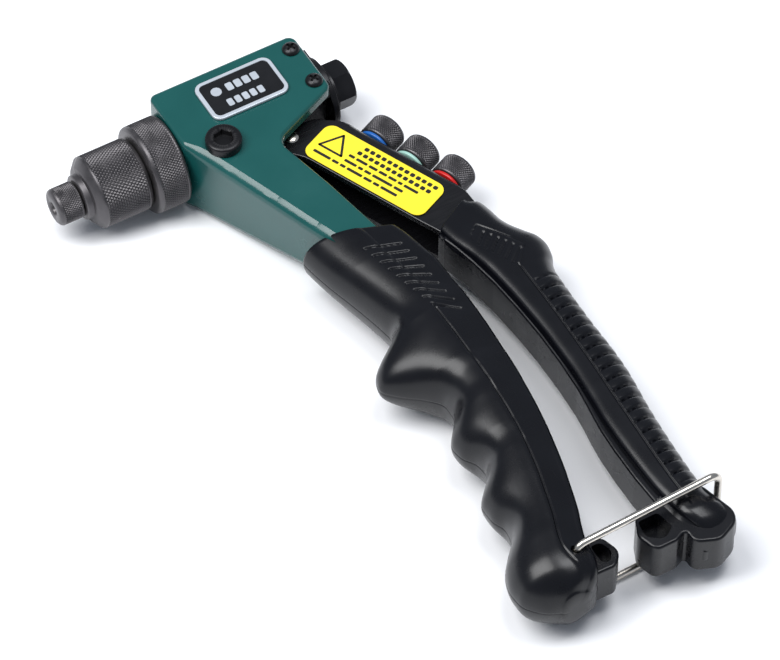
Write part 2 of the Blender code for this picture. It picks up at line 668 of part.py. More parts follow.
# ---------------------------------------------------------------- lever grip
OUTER = [
    (-65.0, 113.5), (-66.3, 115.0), (-68.0, 116.8), (-72.0, 117.9), (-77.0, 118.7), (-81.0, 120.2), (-86.4, 123.4),
    (-90.5, 126.3), (-93.5, 127.0), (-97.0, 125.9), (-100.5, 124.0), (-105.0, 122.9), (-110.0, 122.8), (-118.0, 122.5),
    (-128.0, 122.4), (-138.0, 122.6), (-146.0, 122.4), (-154.0, 121.6), (-162.0, 120.5), (-170.0, 119.7), (-180.0, 119.0),
    (-190.0, 118.5), (-200.0, 118.3), (-204.0, 119.4), (-208.0, 121.0), (-212.0, 121.4), (-215.5, 120.0), (-218.5, 116.8),
    (-221.0, 112.2),
]
RAIL = [(-70.0, 96.4), (-76.5, 97.2), (-82.0, 98.8), (-90.0, 100.6), (-100.0, 102.2), (-112.0, 103.3), (-124.0, 103.9), (-136.0, 103.9),
        (-148.0, 103.3), (-154.0, 102.6), (-160.0, 101.7), (-166.0, 101.0), (-174.0, 100.6), (-186.0, 100.5), (-196.0, 101.0)]
RIDGE = [(-70.0, 98.4), (-78.0, 99.4), (-90.0, 102.6), (-100.0, 104.9), (-115.0, 107.4), (-128.0, 108.6), (-140.0, 108.4), (-155.0, 107.6),
         (-177.0, 107.2), (-202.0, 106.4), (-212.0, 108.0), (-217.0, 109.6), (-221.0, 110.4)]
GRIP_HALF = [(-66.0, 9.2), (-74.0, 9.6), (-82.0, 10.2), (-95.0, 11.0), (-150.0, 10.9), (-195.0, 10.8), (-206.0, 10.8), (-211.0, 10.0),
             (-215.0, 8.3), (-218.5, 5.6), (-221.0, 2.2)]
SKEW = math.tan(math.radians(28.0))


def rib(y, fine=1.0):
    """Depth of the cut between ribs at this y: 0 on a crest."""
    bottom = RIB_TOP - RIB_COUNT * RIB_PITCH
    if not bottom < y < RIB_TOP:
        return 0.0
    phase = (RIB_TOP - y) / RIB_PITCH % 1.0
    return RIB_DEPTH * (1.0 - math.sin(math.pi * phase) ** 0.7)


def grip_ring(t, points_outer=5, ribbed=True):
    """Section of the lever grip's body at station t (the y of its inner side)."""
    k = min(max((t + 76.0 + 34.0) / 34.0, 0.0), 1.0)
    k = k * k * (3 - 2 * k)
    inner_x = spline(RIDGE, t)
    y_out = t + k * SKEW * 20.0
    outer_x = spline(OUTER, y_out) - (rib(y_out) if ribbed else 0.0)
    h = spline(GRIP_HALF, t + k * 4.0)
    foot = spline(RAIL, t) + 2.0 if t > -196 else inner_x - 4.5
    foot = min(foot, inner_x - 1.6)
    half = []
    # concave shoulder from the foot up to the ridge
    half.append((foot + 0.6, 0.0))
    half.append((foot + 0.6, 6.3))
    span, rise = inner_x - foot, h - 6.6
    for a in (0.4, 0.75):
        half.append((foot + 0.6 + (span - 0.6) * a, 6.6 + rise * a ** 2.2))
    half.append((inner_x, h - 0.2))
    half.append((inner_x + 1.6, h))
    flat = inner_x + (outer_x - inner_x) * 0.42
    half.append((flat, h - 0.1))
    for j in range(1, points_outer + 1):
        a = math.pi / 2 * j / points_outer
        half.append((flat + (outer_x - flat) * math.sin(a) ** 0.9, (h - 0.1) * math.cos(a) ** 0.85))
    ring = [(x, t + k * SKEW * (x - spline(RAIL, t)), Z0 + z) for x, z in half]
    ring += [(x, y, 2 * Z0 - z) for x, y, z in ring[-2:0:-1]]
    return ring


def grip_stations():
    out_y = [-75.2, -76.0, -78.0, -81.0, -84.0, -87.0, -90.0, -93.0, -96.0, -99.5, -103.0]
    y = RIB_TOP
    for n in range(RIB_COUNT):
        out_y += [y, y - RIB_PITCH * 0.5]
        y -= RIB_PITCH
    out_y += [y, -198.5, -201.0, -204.0, -207.0, -210.0, -212.5, -214.6, -216.8, -218.8, -220.2, -221.0]
    return out_y


def rail_outline():
    corners = [(97.2, -76.8, 1.5)] + [(x, y, 6.0) for y, x in RAIL[2:]]
    corners += [
        (100.8, -198.6, 1.5), (93.0, -198.4, 2.5), (90.0, -205.0, 4.0), (92.2, -212.2, 3.0), (99.6, -212.2, 2.5), (103.6, -210.4, 1.0),
        (103.6, -216.2, 4.0), (111.6, -217.8, 5.0), (119.2, -212.4, 6.0), (117.0, -199.0, 2.0), (112.0, -195.0, 2.0), (110.5, -150.0, 10.0),
        (109.5, -110.0, 10.0), (106.0, -90.0, 10.0), (104.5, -73.6, 1.5),
    ]
    return rounded(corners, 24)


body = loft("lever_grip", [grip_ring(t) for t in grip_stations()], RUBBER)
rail = plate("rail", split(rail_outline(), 12), RUBBER, Z0 - 7.6, Z0 + 7.6, 0.8, 2)
boolean(body, rail, "UNION")
# pocket of the lug, and the blind slot that holds the lever's tail
for side in (-1, 1):
    z = sorted((Z0 + side * 2.0, Z0 + side * 12.0))
    boolean(body, plate("pocket", rounded([(92.6, -200.6, 1.2), (92.0, -206.5, 2.4), (96.6, -210.2, 3.0), (100.9, -207.0, 1.2), (99.6, -200.6, 1.2)], 30),
                        RUBBER, z[0], z[1], 0, 0))
tail = rounded(
    [(*lever_point(36, -1.2), 0), (101.1, -81.0, 20.0), (104.4, -100.0, 20.0), (106.0, -120.0, 20.0), (105.9, -186.6, 1.5), (114.0, -186.6, 1.5),
     (114.8, -120.0, 20.0), (115.0, -84.0, 20.0), (114.6, -50.0, 0)]
)
boolean(body, plate("tail_slot", tail, RUBBER, Z0 - PLATE_HALF - 0.35, Z0 + PLATE_HALF + 0.35, 0, 0))
smooth(body, 40)

# ---------------------------------------------------------------- front grip
# (y, front edge, back edge, half thickness) down the grip
GRIP_ROWS = [
    (-58.0, 57.2, 85.5, 12.6), (-62.0, 57.7, 87.2, 13.0), (-70.0, 59.4, 88.6, 13.3), (-80.0, 62.2, 89.8, 13.7), (-88.0, 64.2, 90.8, 14.1),
    (-94.5, 65.6, 91.3, 14.4), (-98.5, 66.2, 91.6, 14.6), (-102.0, 64.4, 91.8, 14.8), (-106.5, 58.2, 91.8, 14.9), (-110.5, 53.9, 91.7, 15.0),
    (-114.5, 53.0, 91.6, 15.0), (-119.0, 56.6, 91.3, 15.0), (-125.0, 64.0, 90.9, 15.0), (-130.0, 67.6, 90.5, 14.9), (-134.5, 67.6, 90.2, 14.9),
    (-139.5, 64.4, 89.7, 15.0), (-144.5, 61.2, 89.1, 15.0), (-149.0, 61.8, 88.5, 14.9), (-153.5, 64.6, 87.8, 14.7), (-157.5, 65.2, 87.1, 14.5),
    (-162.5, 62.4, 86.1, 14.5), (-168.5, 57.6, 84.8, 14.4), (-174.0, 57.8, 83.5, 14.2), (-179.0, 59.6, 82.1, 14.0), (-184.0, 58.8, 80.7, 13.9),
    (-189.0, 54.4, 79.1, 13.9), (-194.5, 50.3, 76.9, 14.0), (-200.0, 48.9, 75.2, 14.0), (-205.0, 49.4, 74.6, 13.6), (-209.0, 52.0, 73.6, 12.4),
    (-212.0, 55.4, 71.4, 10.2), (-213.8, 59.6, 68.2, 6.6),
]
# front of the grip without its finger swells, which fade out towards the crest
STEM = [(-58.0, 57.2), (-80.0, 62.2), (-98.0, 66.4), (-116.0, 67.6), (-134.0, 67.8), (-157.0, 65.4), (-180.0, 60.0), (-194.0, 53.5), (-204.0, 50.0), (-213.8, 59.6)]
STRIP = [(-58.0, 11.0), (-100.0, 12.8), (-130.0, 11.4), (-162.0, 9.6), (-200.0, 8.6), (-213.8, 4.0)]
RIM_SLOPE = -0.297


def front_ring(t, arc=6):
    front = spline([(r[0], r[1]) for r in GRIP_ROWS], t)
    stem = spline(STEM, t)
    back = spline([(r[0], r[2]) for r in GRIP_ROWS], t)
    h = spline([(r[0], r[3]) for r in GRIP_ROWS], t)
    strip = min(spline(STRIP, t), (back - front) * 0.42)
    crest = back - strip - 2.0
    groove = back - strip
    low = h - 0.6 - strip * 0.26
    corner = min(2.2, low * 0.4)
    half = []
    for j in range(arc + 1):
        a = math.pi / 2 * j / arc
        half.append((crest - (crest - stem) * math.cos(a) ** 0.94 + (front - stem) * math.cos(a) ** 1.7, h * math.sin(a) ** 0.94))
    half.append((groove, h - 0.5))
    half.append((back - corner * 0.9, low))
    half.append((back - corner * 0.25, low - corner * 0.4))
    half.append((back, low - corner * 1.3))
    half.append((back + 0.15, 0.0))
    skew = min(max((t + 84.0) / 22.0, 0.0), 1.0)
    ring = [(x, t + skew * RIM_SLOPE * (x - 62.0), Z0 + z) for x, z in half]
    ring += [(x, y, 2 * Z0 - z) for x, y, z in ring[-2:0:-1]]
    return ring


def front_stations():
    rows = [GRIP_ROWS[0][0] - 2.6]
    y = -63.0
    while y > -96:
        rows.append(y)
        y -= 6.5
    while y > -206:
        rows.append(y)
        y -= 3.8
    rows += [-207.0, -209.0, -211.0, -212.6, -213.6]
    return rows


grip = loft("front_grip", [front_ring(t) for t in front_stations()], RUBBER)
lug = plate("lug", rounded([(66.0, -199.4, 0), (66.0, -210.4, 0), (79.0, -210.8, 2.6), (82.9, -206.5, 4.0), (80.8, -199.8, 3.0), (77.0, -198.4, 1.0)], 24),
            RUBBER, Z0 - 7.3, Z0 + 7.3, 0.7, 2)
boolean(grip, lug, "UNION")
for side in (-1, 1):
    z = sorted((Z0 + side * 2.0, Z0 + side * 12.0))
    boolean(grip, plate("pocket", rounded([(75.8, -201.0, 1.0), (75.8, -208.0, 2.0), (78.4, -208.6, 2.4), (80.6, -205.6, 2.4), (79.2, -201.2, 2.0)], 30),
                        RUBBER, z[0], z[1], 0, 0))
# the arm's end and its tongue sit in here
seat = [(60.0, -50.0), (67.2, -67.2), (69.95, -74.05), (84.4, -77.95), (82.5, -68.8), (79.4, -55.0)]
boolean(grip, plate("arm_seat", seat, RUBBER, Z0 - 11.45, Z0 + 11.45, 0, 0))
boolean(grip, plate("tongue_seat", tongue_outline(0.35), RUBBER, Z0 - 8.35, Z0 + 8.35, 0, 0))
boolean(grip, post("wire_hole", *BAIL_HINGE, -5, 40, WIRE_R + 0.35, sides=16))
for z in ((-5.0, Z0 + WIRE_R + 1.0 - BAIL_HALF), (Z0 + BAIL_HALF - WIRE_R - 1.0, 40.0)):
    boolean(grip, post("bend_relief", *BAIL_HINGE, *z, 5.2, sides=24))
smooth(grip, 40)

# ---------------------------------------------------------------- bail
hx, hy = BAIL_HINGE
ex, ey = BAIL_END
legs = turned_path(
    [(hx, hy, Z0 + 7.0), (hx, hy, Z0 + BAIL_HALF), (ex, ey, Z0 + BAIL_HALF), (ex, ey, Z0 - BAIL_HALF), (hx, hy, Z0 - BAIL_HALF),
     (hx, hy, Z0 - 7.0)],
    2.8, 4,
)
sweep("latch_bail", legs, WIRE_R, BRIGHT, 10)


# ---------------------------------------------------------------- moving groups
def carried(name, centre, members):
    """An empty on the joint's axis that the group's pieces are parented to."""
    axis = bpy.data.objects.new(name, None)
    axis.location = [c * MM for c in centre]
    axis.empty_display_size = 0.01
    bpy.context.collection.objects.link(axis)
    bpy.context.view_layer.update()
    for member in members:
        piece = bpy.data.objects[member]
        piece.parent = axis
        piece.matrix_parent_inverse = axis.matrix_world.inverted()


carried("lever_axis", (*PIVOT, Z0), ["lever_channel", "lever_pin", "lever_label", "lever_grip"] + [name for name, _ in RINGS]
        + [f"spare_nosepiece_{k + 1}" for k in range(SPARE_COUNT)])
carried("pull_axis", (PULL_X0, 0, Z0), ["jaw_case", "jaw_upper", "jaw_lower", "jaw_pusher", "jaw_spring", "draw_tube", "return_spring"])
carried("bail_axis", (*BAIL_HINGE, Z0), ["latch_bail"])

# everything hangs on one empty that brings the origin under the middle of the tool
base = bpy.data.objects.new("riveter_origin", None)
bpy.context.collection.objects.link(base)
for piece in bpy.context.scene.objects:
    if piece is not base and piece.parent is None:
        piece.parent = base
base.location = (-MIDDLE[0] * MM, -MIDDLE[1] * MM, 0)
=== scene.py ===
import math

import bmesh
import bpy
import numpy as np
from mathutils import Matrix, Vector


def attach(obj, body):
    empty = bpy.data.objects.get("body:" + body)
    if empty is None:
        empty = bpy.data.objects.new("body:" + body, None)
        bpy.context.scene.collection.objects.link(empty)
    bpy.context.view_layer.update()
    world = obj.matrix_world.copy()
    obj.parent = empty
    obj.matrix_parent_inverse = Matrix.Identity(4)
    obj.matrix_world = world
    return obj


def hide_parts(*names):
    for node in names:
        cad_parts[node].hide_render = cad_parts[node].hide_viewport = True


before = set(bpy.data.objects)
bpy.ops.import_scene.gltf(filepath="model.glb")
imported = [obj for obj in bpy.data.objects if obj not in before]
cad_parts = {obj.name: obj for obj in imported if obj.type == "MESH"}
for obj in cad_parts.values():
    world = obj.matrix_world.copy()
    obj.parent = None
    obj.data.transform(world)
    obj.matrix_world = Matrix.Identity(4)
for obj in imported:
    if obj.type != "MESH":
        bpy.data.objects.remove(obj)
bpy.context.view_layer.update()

MM = 0.001
MIDDLE = (63.4, -103.7, 0.0)
Z0 = 15.0
PIVOT = (53.9, -14.7)
HEAD_HALF, ARM_HALF = 15.0, 10.8


# ------------------------------------------------------------------------------------------------ camera
def camera():
    """Looks down on the tool from its nose side, 52 degrees above the floor."""
    a, e = math.radians(-30), math.radians(52)
    right = Vector((math.cos(a), math.sin(a), 0))
    back = Vector((math.sin(a) * math.cos(e), -math.cos(a) * math.cos(e), math.sin(e)))
    up = back.cross(right)
    target = Vector((67.917, -95.202, 15.0)) - Vector(MIDDLE)
    spot = (target + back * 1600) * MM
    data = bpy.data.cameras.new("view_camera")
    data.sensor_width = 36
    data.lens = 36 * 1600 / 241.8
    data.clip_end = 20
    made = bpy.data.objects.new("view_camera", data)
    bpy.context.collection.objects.link(made)
    made.matrix_world = Matrix(((right.x, up.x, back.x, spot.x), (right.y, up.y, back.y, spot.y), (right.z, up.z, back.z, spot.z), (0, 0, 0, 1)))
    bpy.context.scene.camera = made


camera()


# ------------------------------------------------------------------------------------------------ finishes
def finish(name, colour, roughness, metallic=0.0, grain=0.0, grain_size=0.25, mottle=0.08, mottle_size=9.0, spread=0.06,
           coat=0.0, coat_roughness=0.08, specular=0.5, wear=0.0, wear_colour=(0.3, 0.3, 0.3), scratches=0.0):
    """A surface with slow colour and gloss changes and a fine grain. Sizes are in millimetres, grain is a depth in millimetres."""
    made = bpy.data.materials.new(name)
    made.use_nodes = True
    nodes, links = made.node_tree.nodes, made.node_tree.links
    shader = nodes["Principled BSDF"]
    shader.inputs["Metallic"].default_value = metallic
    shader.inputs["Specular IOR Level"].default_value = specular
    shader.inputs["Coat Weight"].default_value = coat
    shader.inputs["Coat Roughness"].default_value = coat_roughness
    where = nodes.new("ShaderNodeTexCoord")
    slow = nodes.new("ShaderNodeTexNoise")
    slow.inputs["Scale"].default_value = 1000.0 / mottle_size
    slow.inputs["Detail"].default_value = 5.0
    links.new(where.outputs["Object"], slow.inputs["Vector"])
    ramp = nodes.new("ShaderNodeValToRGB")
    ramp.color_ramp.elements[0].position, ramp.color_ramp.elements[1].position = 0.3, 0.7
    ramp.color_ramp.elements[0].color = (*(c * (1 - mottle) for c in colour), 1)
    ramp.color_ramp.elements[1].color = (*(c * (1 + mottle) for c in colour), 1)
    links.new(slow.outputs["Fac"], ramp.inputs["Fac"])
    tint = ramp.outputs["Color"]
    if wear:
        edge = nodes.new("ShaderNodeNewGeometry")
        pick = nodes.new("ShaderNodeMapRange")
        pick.inputs["From Min"].default_value, pick.inputs["From Max"].default_value = 0.53, 0.62
        pick.inputs["To Max"].default_value = wear
        links.new(edge.outputs["Pointiness"], pick.inputs["Value"])
        blend = nodes.new("ShaderNodeMix")
        blend.data_type = "RGBA"
        blend.inputs["B"].default_value = (*wear_colour, 1)
        links.new(pick.outputs["Result"], blend.inputs["Factor"])
        links.new(tint, blend.inputs["A"])
        tint = blend.outputs["Result"]
    links.new(tint, shader.inputs["Base Color"])
    gloss = nodes.new("ShaderNodeMapRange")
    gloss.inputs["From Min"].default_value, gloss.inputs["From Max"].default_value = 0.25, 0.75
    gloss.inputs["To Min"].default_value = max(roughness - spread, 0.02)
    gloss.inputs["To Max"].default_value = min(roughness + spread, 1.0)
    streak = slow
    if scratches:
        stretch = nodes.new("ShaderNodeMapping")
        stretch.inputs["Scale"].default_value = (1.0, 14.0, 14.0)
        links.new(where.outputs["Object"], stretch.inputs["Vector"])
        streak = nodes.new("ShaderNodeTexNoise")
        streak.inputs["Scale"].default_value = 90.0
        streak.inputs["Detail"].default_value = 6.0
        links.new(stretch.outputs["Vector"], streak.inputs["Vector"])
    links.new(streak.outputs["Fac"], gloss.inputs["Value"])
    links.new(gloss.outputs["Result"], shader.inputs["Roughness"])
    if grain:
        fine = nodes.new("ShaderNodeTexNoise")
        fine.inputs["Scale"].default_value = 1000.0 / grain_size
        fine.inputs["Detail"].default_value = 3.0
        links.new(where.outputs["Object"], fine.inputs["Vector"])
        bump = nodes.new("ShaderNodeBump")
        bump.inputs["Strength"].default_value = 1.0
        bump.inputs["Distance"].default_value = grain * MM
        links.new(fine.outputs["Fac"], bump.inputs["Height"])
        links.new(bump.outputs["Normal"], shader.inputs["Normal"])
    return made


def tone(r, g, b):
    """Linear colour of an 8-bit one."""
    return tuple(((c / 255 + 0.055) / 1.055) ** 2.4 if c > 10 else c / 255 / 12.92 for c in (r, g, b))


LOOKS = {
    "paint": finish("teal_enamel", tone(18, 74, 72), 0.24, 0.0, 0.006, 2.2, 0.05, 14.0, 0.05, coat=0.25, coat_roughness=0.07, specular=0.35),
    "dark": finish("phosphated_steel", tone(84, 82, 84), 0.42, 0.85, 0.01, 0.3, 0.14, 4.0, 0.09, wear=0.5, wear_colour=tone(150, 147, 146)),
    "black": finish("blackened_steel", tone(24, 24, 27), 0.34, 0.5, 0.008, 0.4, 0.18, 6.0, 0.09, wear=0.3, wear_colour=tone(80, 79, 80)),
    "sheet": finish("blackened_sheet", tone(16, 16, 19), 0.28, 0.2, 0.006, 0.7, 0.2, 9.0, 0.08, coat=0.15, coat_roughness=0.2, scratches=1.0),
    "bright": finish("nickel_wire", tone(214, 208, 198), 0.2, 1.0, 0.004, 0.5, 0.06, 5.0, 0.06, scratches=1.0),
    "grip": finish("moulded_grip", tone(8, 9, 14), 0.28, 0.0, 0.012, 0.34, 0.15, 12.0, 0.04, specular=0.33),
    "yellow": finish("label_yellow_film", tone(234, 214, 52), 0.38, 0.0, 0.002, 0.6, 0.03, 20.0, 0.04, specular=0.35),
    "ink": finish("label_ink", tone(22, 21, 18), 0.45, 0.0, 0.002, 0.5, 0.1, 5.0, 0.04),
    "silver": finish("plate_silver", tone(190, 197, 205), 0.36, 0.35, 0.003, 0.4, 0.06, 6.0, 0.06, scratches=1.0),
    "field": finish("plate_black", tone(15, 16, 19), 0.3, 0.0, 0.003, 0.4, 0.15, 7.0, 0.05),
    "blue": finish("ring_blue_plastic", tone(30, 92, 168), 0.32, 0.0, 0.004, 0.4, 0.06, 3.0, 0.04),
    "pale": finish("ring_pale_plastic", tone(150, 190, 180), 0.32, 0.0, 0.004, 0.4, 0.06, 3.0, 0.04),
    "red": finish("ring_red_plastic", tone(190, 28, 26), 0.32, 0.0, 0.004, 0.4, 0.06, 3.0, 0.04),
}


# ------------------------------------------------------------------------------------------------ mesh tools
def build(name, points, faces, look):
    """An object from points in millimetres on the drawing."""
    points = (np.asarray(points, float) - np.asarray(MIDDLE)) * MM
    mesh = bpy.data.meshes.new(name)
    mesh.from_pydata(points.tolist(), [], [tuple(f) for f in faces])
    work = bmesh.new()
    work.from_mesh(mesh)
    bmesh.ops.remove_doubles(work, verts=work.verts, dist=1e-7)
    bmesh.ops.recalc_face_normals(work, faces=work.faces)
    if work.calc_volume(signed=True) < 0:
        bmesh.ops.reverse_faces(work, faces=work.faces)
    work.to_mesh(mesh)
    work.free()
    made = bpy.data.objects.new(name, mesh)
    bpy.context.collection.objects.link(made)
    mesh.materials.append(LOOKS[look])
    made["look"] = look
    return made


def smooth(made, angle=35):
    mesh = made.data
    mesh.polygons.foreach_set("use_smooth", [True] * len(mesh.polygons))
    mesh.set_sharp_from_angle(angle=math.radians(angle))
    return made


def even_normals(made, angle=35):
    """Smooth shading whose normals follow the large faces."""
    smooth(made, angle)
    modifier = made.modifiers.new("normals", "WEIGHTED_NORMAL")
    modifier.keep_sharp = True
    modifier.weight = 80
    return made


def boolean(target, other, operation="DIFFERENCE"):
    """Applies the Boolean at once and removes the other solid."""
    modifier = target.modifiers.new("cut", "BOOLEAN")
    modifier.operation = operation
    modifier.solver = "EXACT"
    modifier.object = other
    graph = bpy.context.evaluated_depsgraph_get()
    graph.update()
    result = bpy.data.meshes.new_from_object(target.evaluated_get(graph))
    target.modifiers.clear()
    target.data = result
    bpy.data.objects.remove(other, do_unlink=True)
    while len(result.materials) > 1:
        result.materials.pop()
    return target


def place(made, body, *nodes):
    """The piece rides on a body and stands for CAD nodes."""
    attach(made, body)
    if nodes:
        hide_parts(*nodes)
    return made


def skin(name, rings, look, capped=True, looped=False):
    """Joins closed rings, given as an array of rows, columns and coordinates."""
    rings = np.asarray(rings, float)
    rows, count, _ = rings.shape
    points = rings.reshape(-1, 3)
    index = np.arange(rows * count).reshape(rows, count)
    right = np.roll(index, -1, axis=1)
    if looped:
        below = np.roll(index, -1, axis=0)
        faces = np.stack([index, right, np.roll(below, -1, axis=1), below], axis=-1).reshape(-1, 4).tolist()
    else:
        faces = np.stack([index[:-1], right[:-1], right[1:], index[1:]], axis=-1).reshape(-1, 4).tolist()
    if capped and not looped:
        points = np.concatenate([points, rings[:1].mean(axis=1), rings[-1:].mean(axis=1)])
        for row, centre in ((index[0], rows * count), (index[-1], rows * count + 1)):
            faces += [(int(row[i]), int(row[(i + 1) % count]), centre) for i in range(count)]
    return build(name, points, faces, look)


def rounded(corners, step=18):
    """A polygon with each corner (x, y, radius) rounded: arcs of about step degrees per side."""
    out = []
    count = len(corners)
    for i, (x, y, r) in enumerate(corners):
        here = Vector((x, y))
        before = (Vector(corners[i - 1][:2]) - here).normalized()
        after = (Vector(corners[(i + 1) % count][:2]) - here).normalized()
        if r <= 0:
            out.append((x, y))
            continue
        half = before.angle(after) / 2
        shortest = min(math.dist(corners[i - 1][:2], (x, y)), math.dist(corners[(i + 1) % count][:2], (x, y)))
        r = min(r, 0.48 * shortest * math.tan(half))
        reach = r / math.tan(half)
        centre = here + (before + after).normalized() * (r / math.sin(half))
        start, end = here + before * reach - centre, here + after * reach - centre
        turn = start.angle_signed(end)
        parts = max(1, round(abs(math.degrees(turn)) / step))
        for k in range(parts + 1):
            a = -turn * k / parts
            out.append(
                (
                    centre.x + start.x * math.cos(a) - start.y * math.sin(a),
                    centre.y + start.x * math.sin(a) + start.y * math.cos(a),
                )
            )
    return out


def spline(stations, at):
    """Smooth curve through (t, value) stations, read at t (monotone cubic Hermite)."""
    t = np.array([s[0] for s in stations], float)
    v = np.array([s[1] for s in stations], float)
    if t[0] > t[-1]:
        t, v = t[::-1], v[::-1]
    h, d = np.diff(t), np.diff(v) / np.diff(t)
    m = np.zeros(len(t))
    m[0], m[-1] = d[0], d[-1]
    for i in range(1, len(t) - 1):
        if d[i - 1] * d[i] > 0:
            w0, w1 = 2 * h[i] + h[i - 1], h[i] + 2 * h[i - 1]
            m[i] = (w0 + w1) / (w0 / d[i - 1] + w1 / d[i])
    at = float(min(max(at, t[0]), t[-1]))
    i = int(min(max(np.searchsorted(t, at) - 1, 0), len(h) - 1))
    s = (at - t[i]) / h[i]
    return float(
        (1 + 2 * s) * (1 - s) ** 2 * v[i]
        + s * (1 - s) ** 2 * h[i] * m[i]
        + s * s * (3 - 2 * s) * v[i + 1]
        + s * s * (s - 1) * h[i] * m[i + 1]
    )


def inward(outline):
    """Unit inward mitre of a counterclockwise outline at each point, with its length factor."""
    out = []
    count = len(outline)
    for i in range(count):
        a, b, c = outline[i - 1], outline[i], outline[(i + 1) % count]
        n1 = Vector((-(b[1] - a[1]), b[0] - a[0])).normalized()
        n2 = Vector((-(c[1] - b[1]), c[0] - b[0])).normalized()
        mean = n1 + n2
        if mean.length < 1e-6:
            mean = n1
        mean.normalize()
        out.append(mean / max(0.4, mean.dot(n1)))
    return out


def area(outline):
    return 0.5 * sum(
        outline[i - 1][0] * outline[i][1] - outline[i][0] * outline[i - 1][1]
        for i in range(len(outline))
    )


def plate(name, outline, look, low, high, radius=0.0, arcs=1):
    """A slab of an outline. low, high and radius are numbers or functions of (x, y); the rims are rounded by radius."""
    if area(outline) < 0:
        outline = outline[::-1]
    value = lambda f, p: f(*p) if callable(f) else f
    turn = inward(outline)
    rings = []
    steps = [0] if arcs == 0 else [90 * k / arcs for k in range(arcs + 1)]
    for side in (-1, 1):
        order = steps[::-1] if side < 0 else steps
        for angle in order:
            c, s = math.cos(math.radians(angle)), math.sin(math.radians(angle))
            ring = []
            for p, n in zip(outline, turn):
                r = value(radius, p)
                q = (p[0] + n.x * r * (1 - c), p[1] + n.y * r * (1 - c))
                edge = value(high, p) if side > 0 else value(low, p)
                ring.append((*q, edge - side * r * (1 - s)))
            rings.append(ring)
    count = len(outline)
    points = [p for ring in rings for p in ring]
    faces = []
    for k in range(len(rings) - 1):
        for i in range(count):
            j = (i + 1) % count
            faces.append((k * count + i, k * count + j, (k + 1) * count + j, (k + 1) * count + i))
    faces.append(tuple(range(count))[::-1])
    faces.append(tuple((len(rings) - 1) * count + i for i in range(count)))
    return build(name, points, faces, look)


def frame_of(direction):
    along = Vector(direction).normalized()
    side = Vector((0, 0, 1)).cross(along)
    if side.length < 1e-6:
        side = Vector((1, 0, 0))
    side.normalize()
    return along, side, along.cross(side)


def lathe(name, profile, look, origin=(0, 0, Z0), direction=(1, 0, 0), sides=32, start=0.0):
    """Turns a closed profile of (distance along the axis, radius). Points with radius 0 lie on the axis."""
    along, side, up = frame_of(direction)
    origin = Vector(origin)
    points, index = [], []
    for s, r in profile:
        if r < 1e-6:
            index.append([len(points)] * sides)
            points.append(tuple(origin + along * s))
            continue
        index.append(list(range(len(points), len(points) + sides)))
        for k in range(sides):
            a = 2 * math.pi * (k + start) / sides
            points.append(tuple(origin + along * s + side * (r * math.cos(a)) + up * (r * math.sin(a))))
    faces = []
    for k in range(len(profile)):
        a, b = index[k], index[(k + 1) % len(profile)]
        for i in range(sides):
            j = (i + 1) % sides
            face = []
            for v in (a[i], a[j], b[j], b[i]):
                if v not in face:
                    face.append(v)
            if len(face) > 2:
                faces.append(tuple(face))
    return smooth(build(name, points, faces, look))


def loft(name, rings, look, flat_ends=True):
    """Joins closed rings of equal length and closes both ends."""
    count = len(rings[0])
    points = [p for ring in rings for p in ring]
    faces = []
    for k in range(len(rings) - 1):
        for i in range(count):
            j = (i + 1) % count
            faces.append((k * count + i, k * count + j, (k + 1) * count + j, (k + 1) * count + i))
    for k, ring in ((0, rings[0]), (len(rings) - 1, rings[-1])):
        centre = tuple(sum(p[a] for p in ring) / count for a in range(3))
        points.append(centre)
        for i in range(count):
            faces.append((k * count + i, k * count + (i + 1) % count, len(points) - 1))
    return build(name, points, faces, look)


def sweep(name, path, radius, look, sides=10):
    """A round wire along a path of points."""
    path = [Vector(p) for p in path]
    rings, side = [], None
    for i, p in enumerate(path):
        if i == 0:
            along = path[1] - p
        elif i == len(path) - 1:
            along = p - path[-2]
        else:
            along = (path[i + 1] - p).normalized() + (p - path[i - 1]).normalized()
        along.normalize()
        if side is None:
            side = along.orthogonal()
        side = (side - along * side.dot(along)).normalized()
        up = along.cross(side)
        rings.append(
            [
                tuple(p + side * (radius * math.cos(a)) + up * (radius * math.sin(a)))
                for a in (2 * math.pi * k / sides for k in range(sides))
            ]
        )
    return smooth(loft(name, rings, look), 50)


def turned_path(corners, radius, parts=4):
    """Straight runs between corners in space, joined by arcs."""
    points = [Vector(c) for c in corners]
    out = [tuple(points[0])]
    for a, b, c in zip(points, points[1:], points[2:]):
        before, after = (a - b).normalized(), (c - b).normalized()
        half = before.angle(after) / 2
        reach = radius / math.tan(half)
        centre = b + (before + after).normalized() * (radius / math.sin(half))
        start, end = b + before * reach - centre, b + after * reach - centre
        sweep_angle = start.angle(end)
        for k in range(parts + 1):
            a = sweep_angle * k / parts
            out.append(tuple(centre + (start * math.sin(sweep_angle - a) + end * math.sin(a)) / math.sin(sweep_angle)))
    out.append(tuple(points[-1]))
    return out


def block(name, low, high, look="dark"):
    (x0, y0, z0), (x1, y1, z1) = low, high
    return plate(name, [(x0, y0), (x1, y0), (x1, y1), (x0, y1)], look, z0, z1, 0, 0)


def hexagon(across, turn=0.0, centre=(0.0, 0.0)):
    r = across / 2 / math.cos(math.pi / 6)
    return [
        (centre[0] + r * math.cos(turn + math.pi * k / 3), centre[1] + r * math.sin(turn + math.pi * k / 3))
        for k in range(6)
    ]


def post(name, x, y, z_low, z_high, r, look="dark", sides=24):
    return lathe(name, [(z_low, 0), (z_low, r), (z_high, r), (z_high, 0)], look, (x, y, 0), (0, 0, 1), sides)

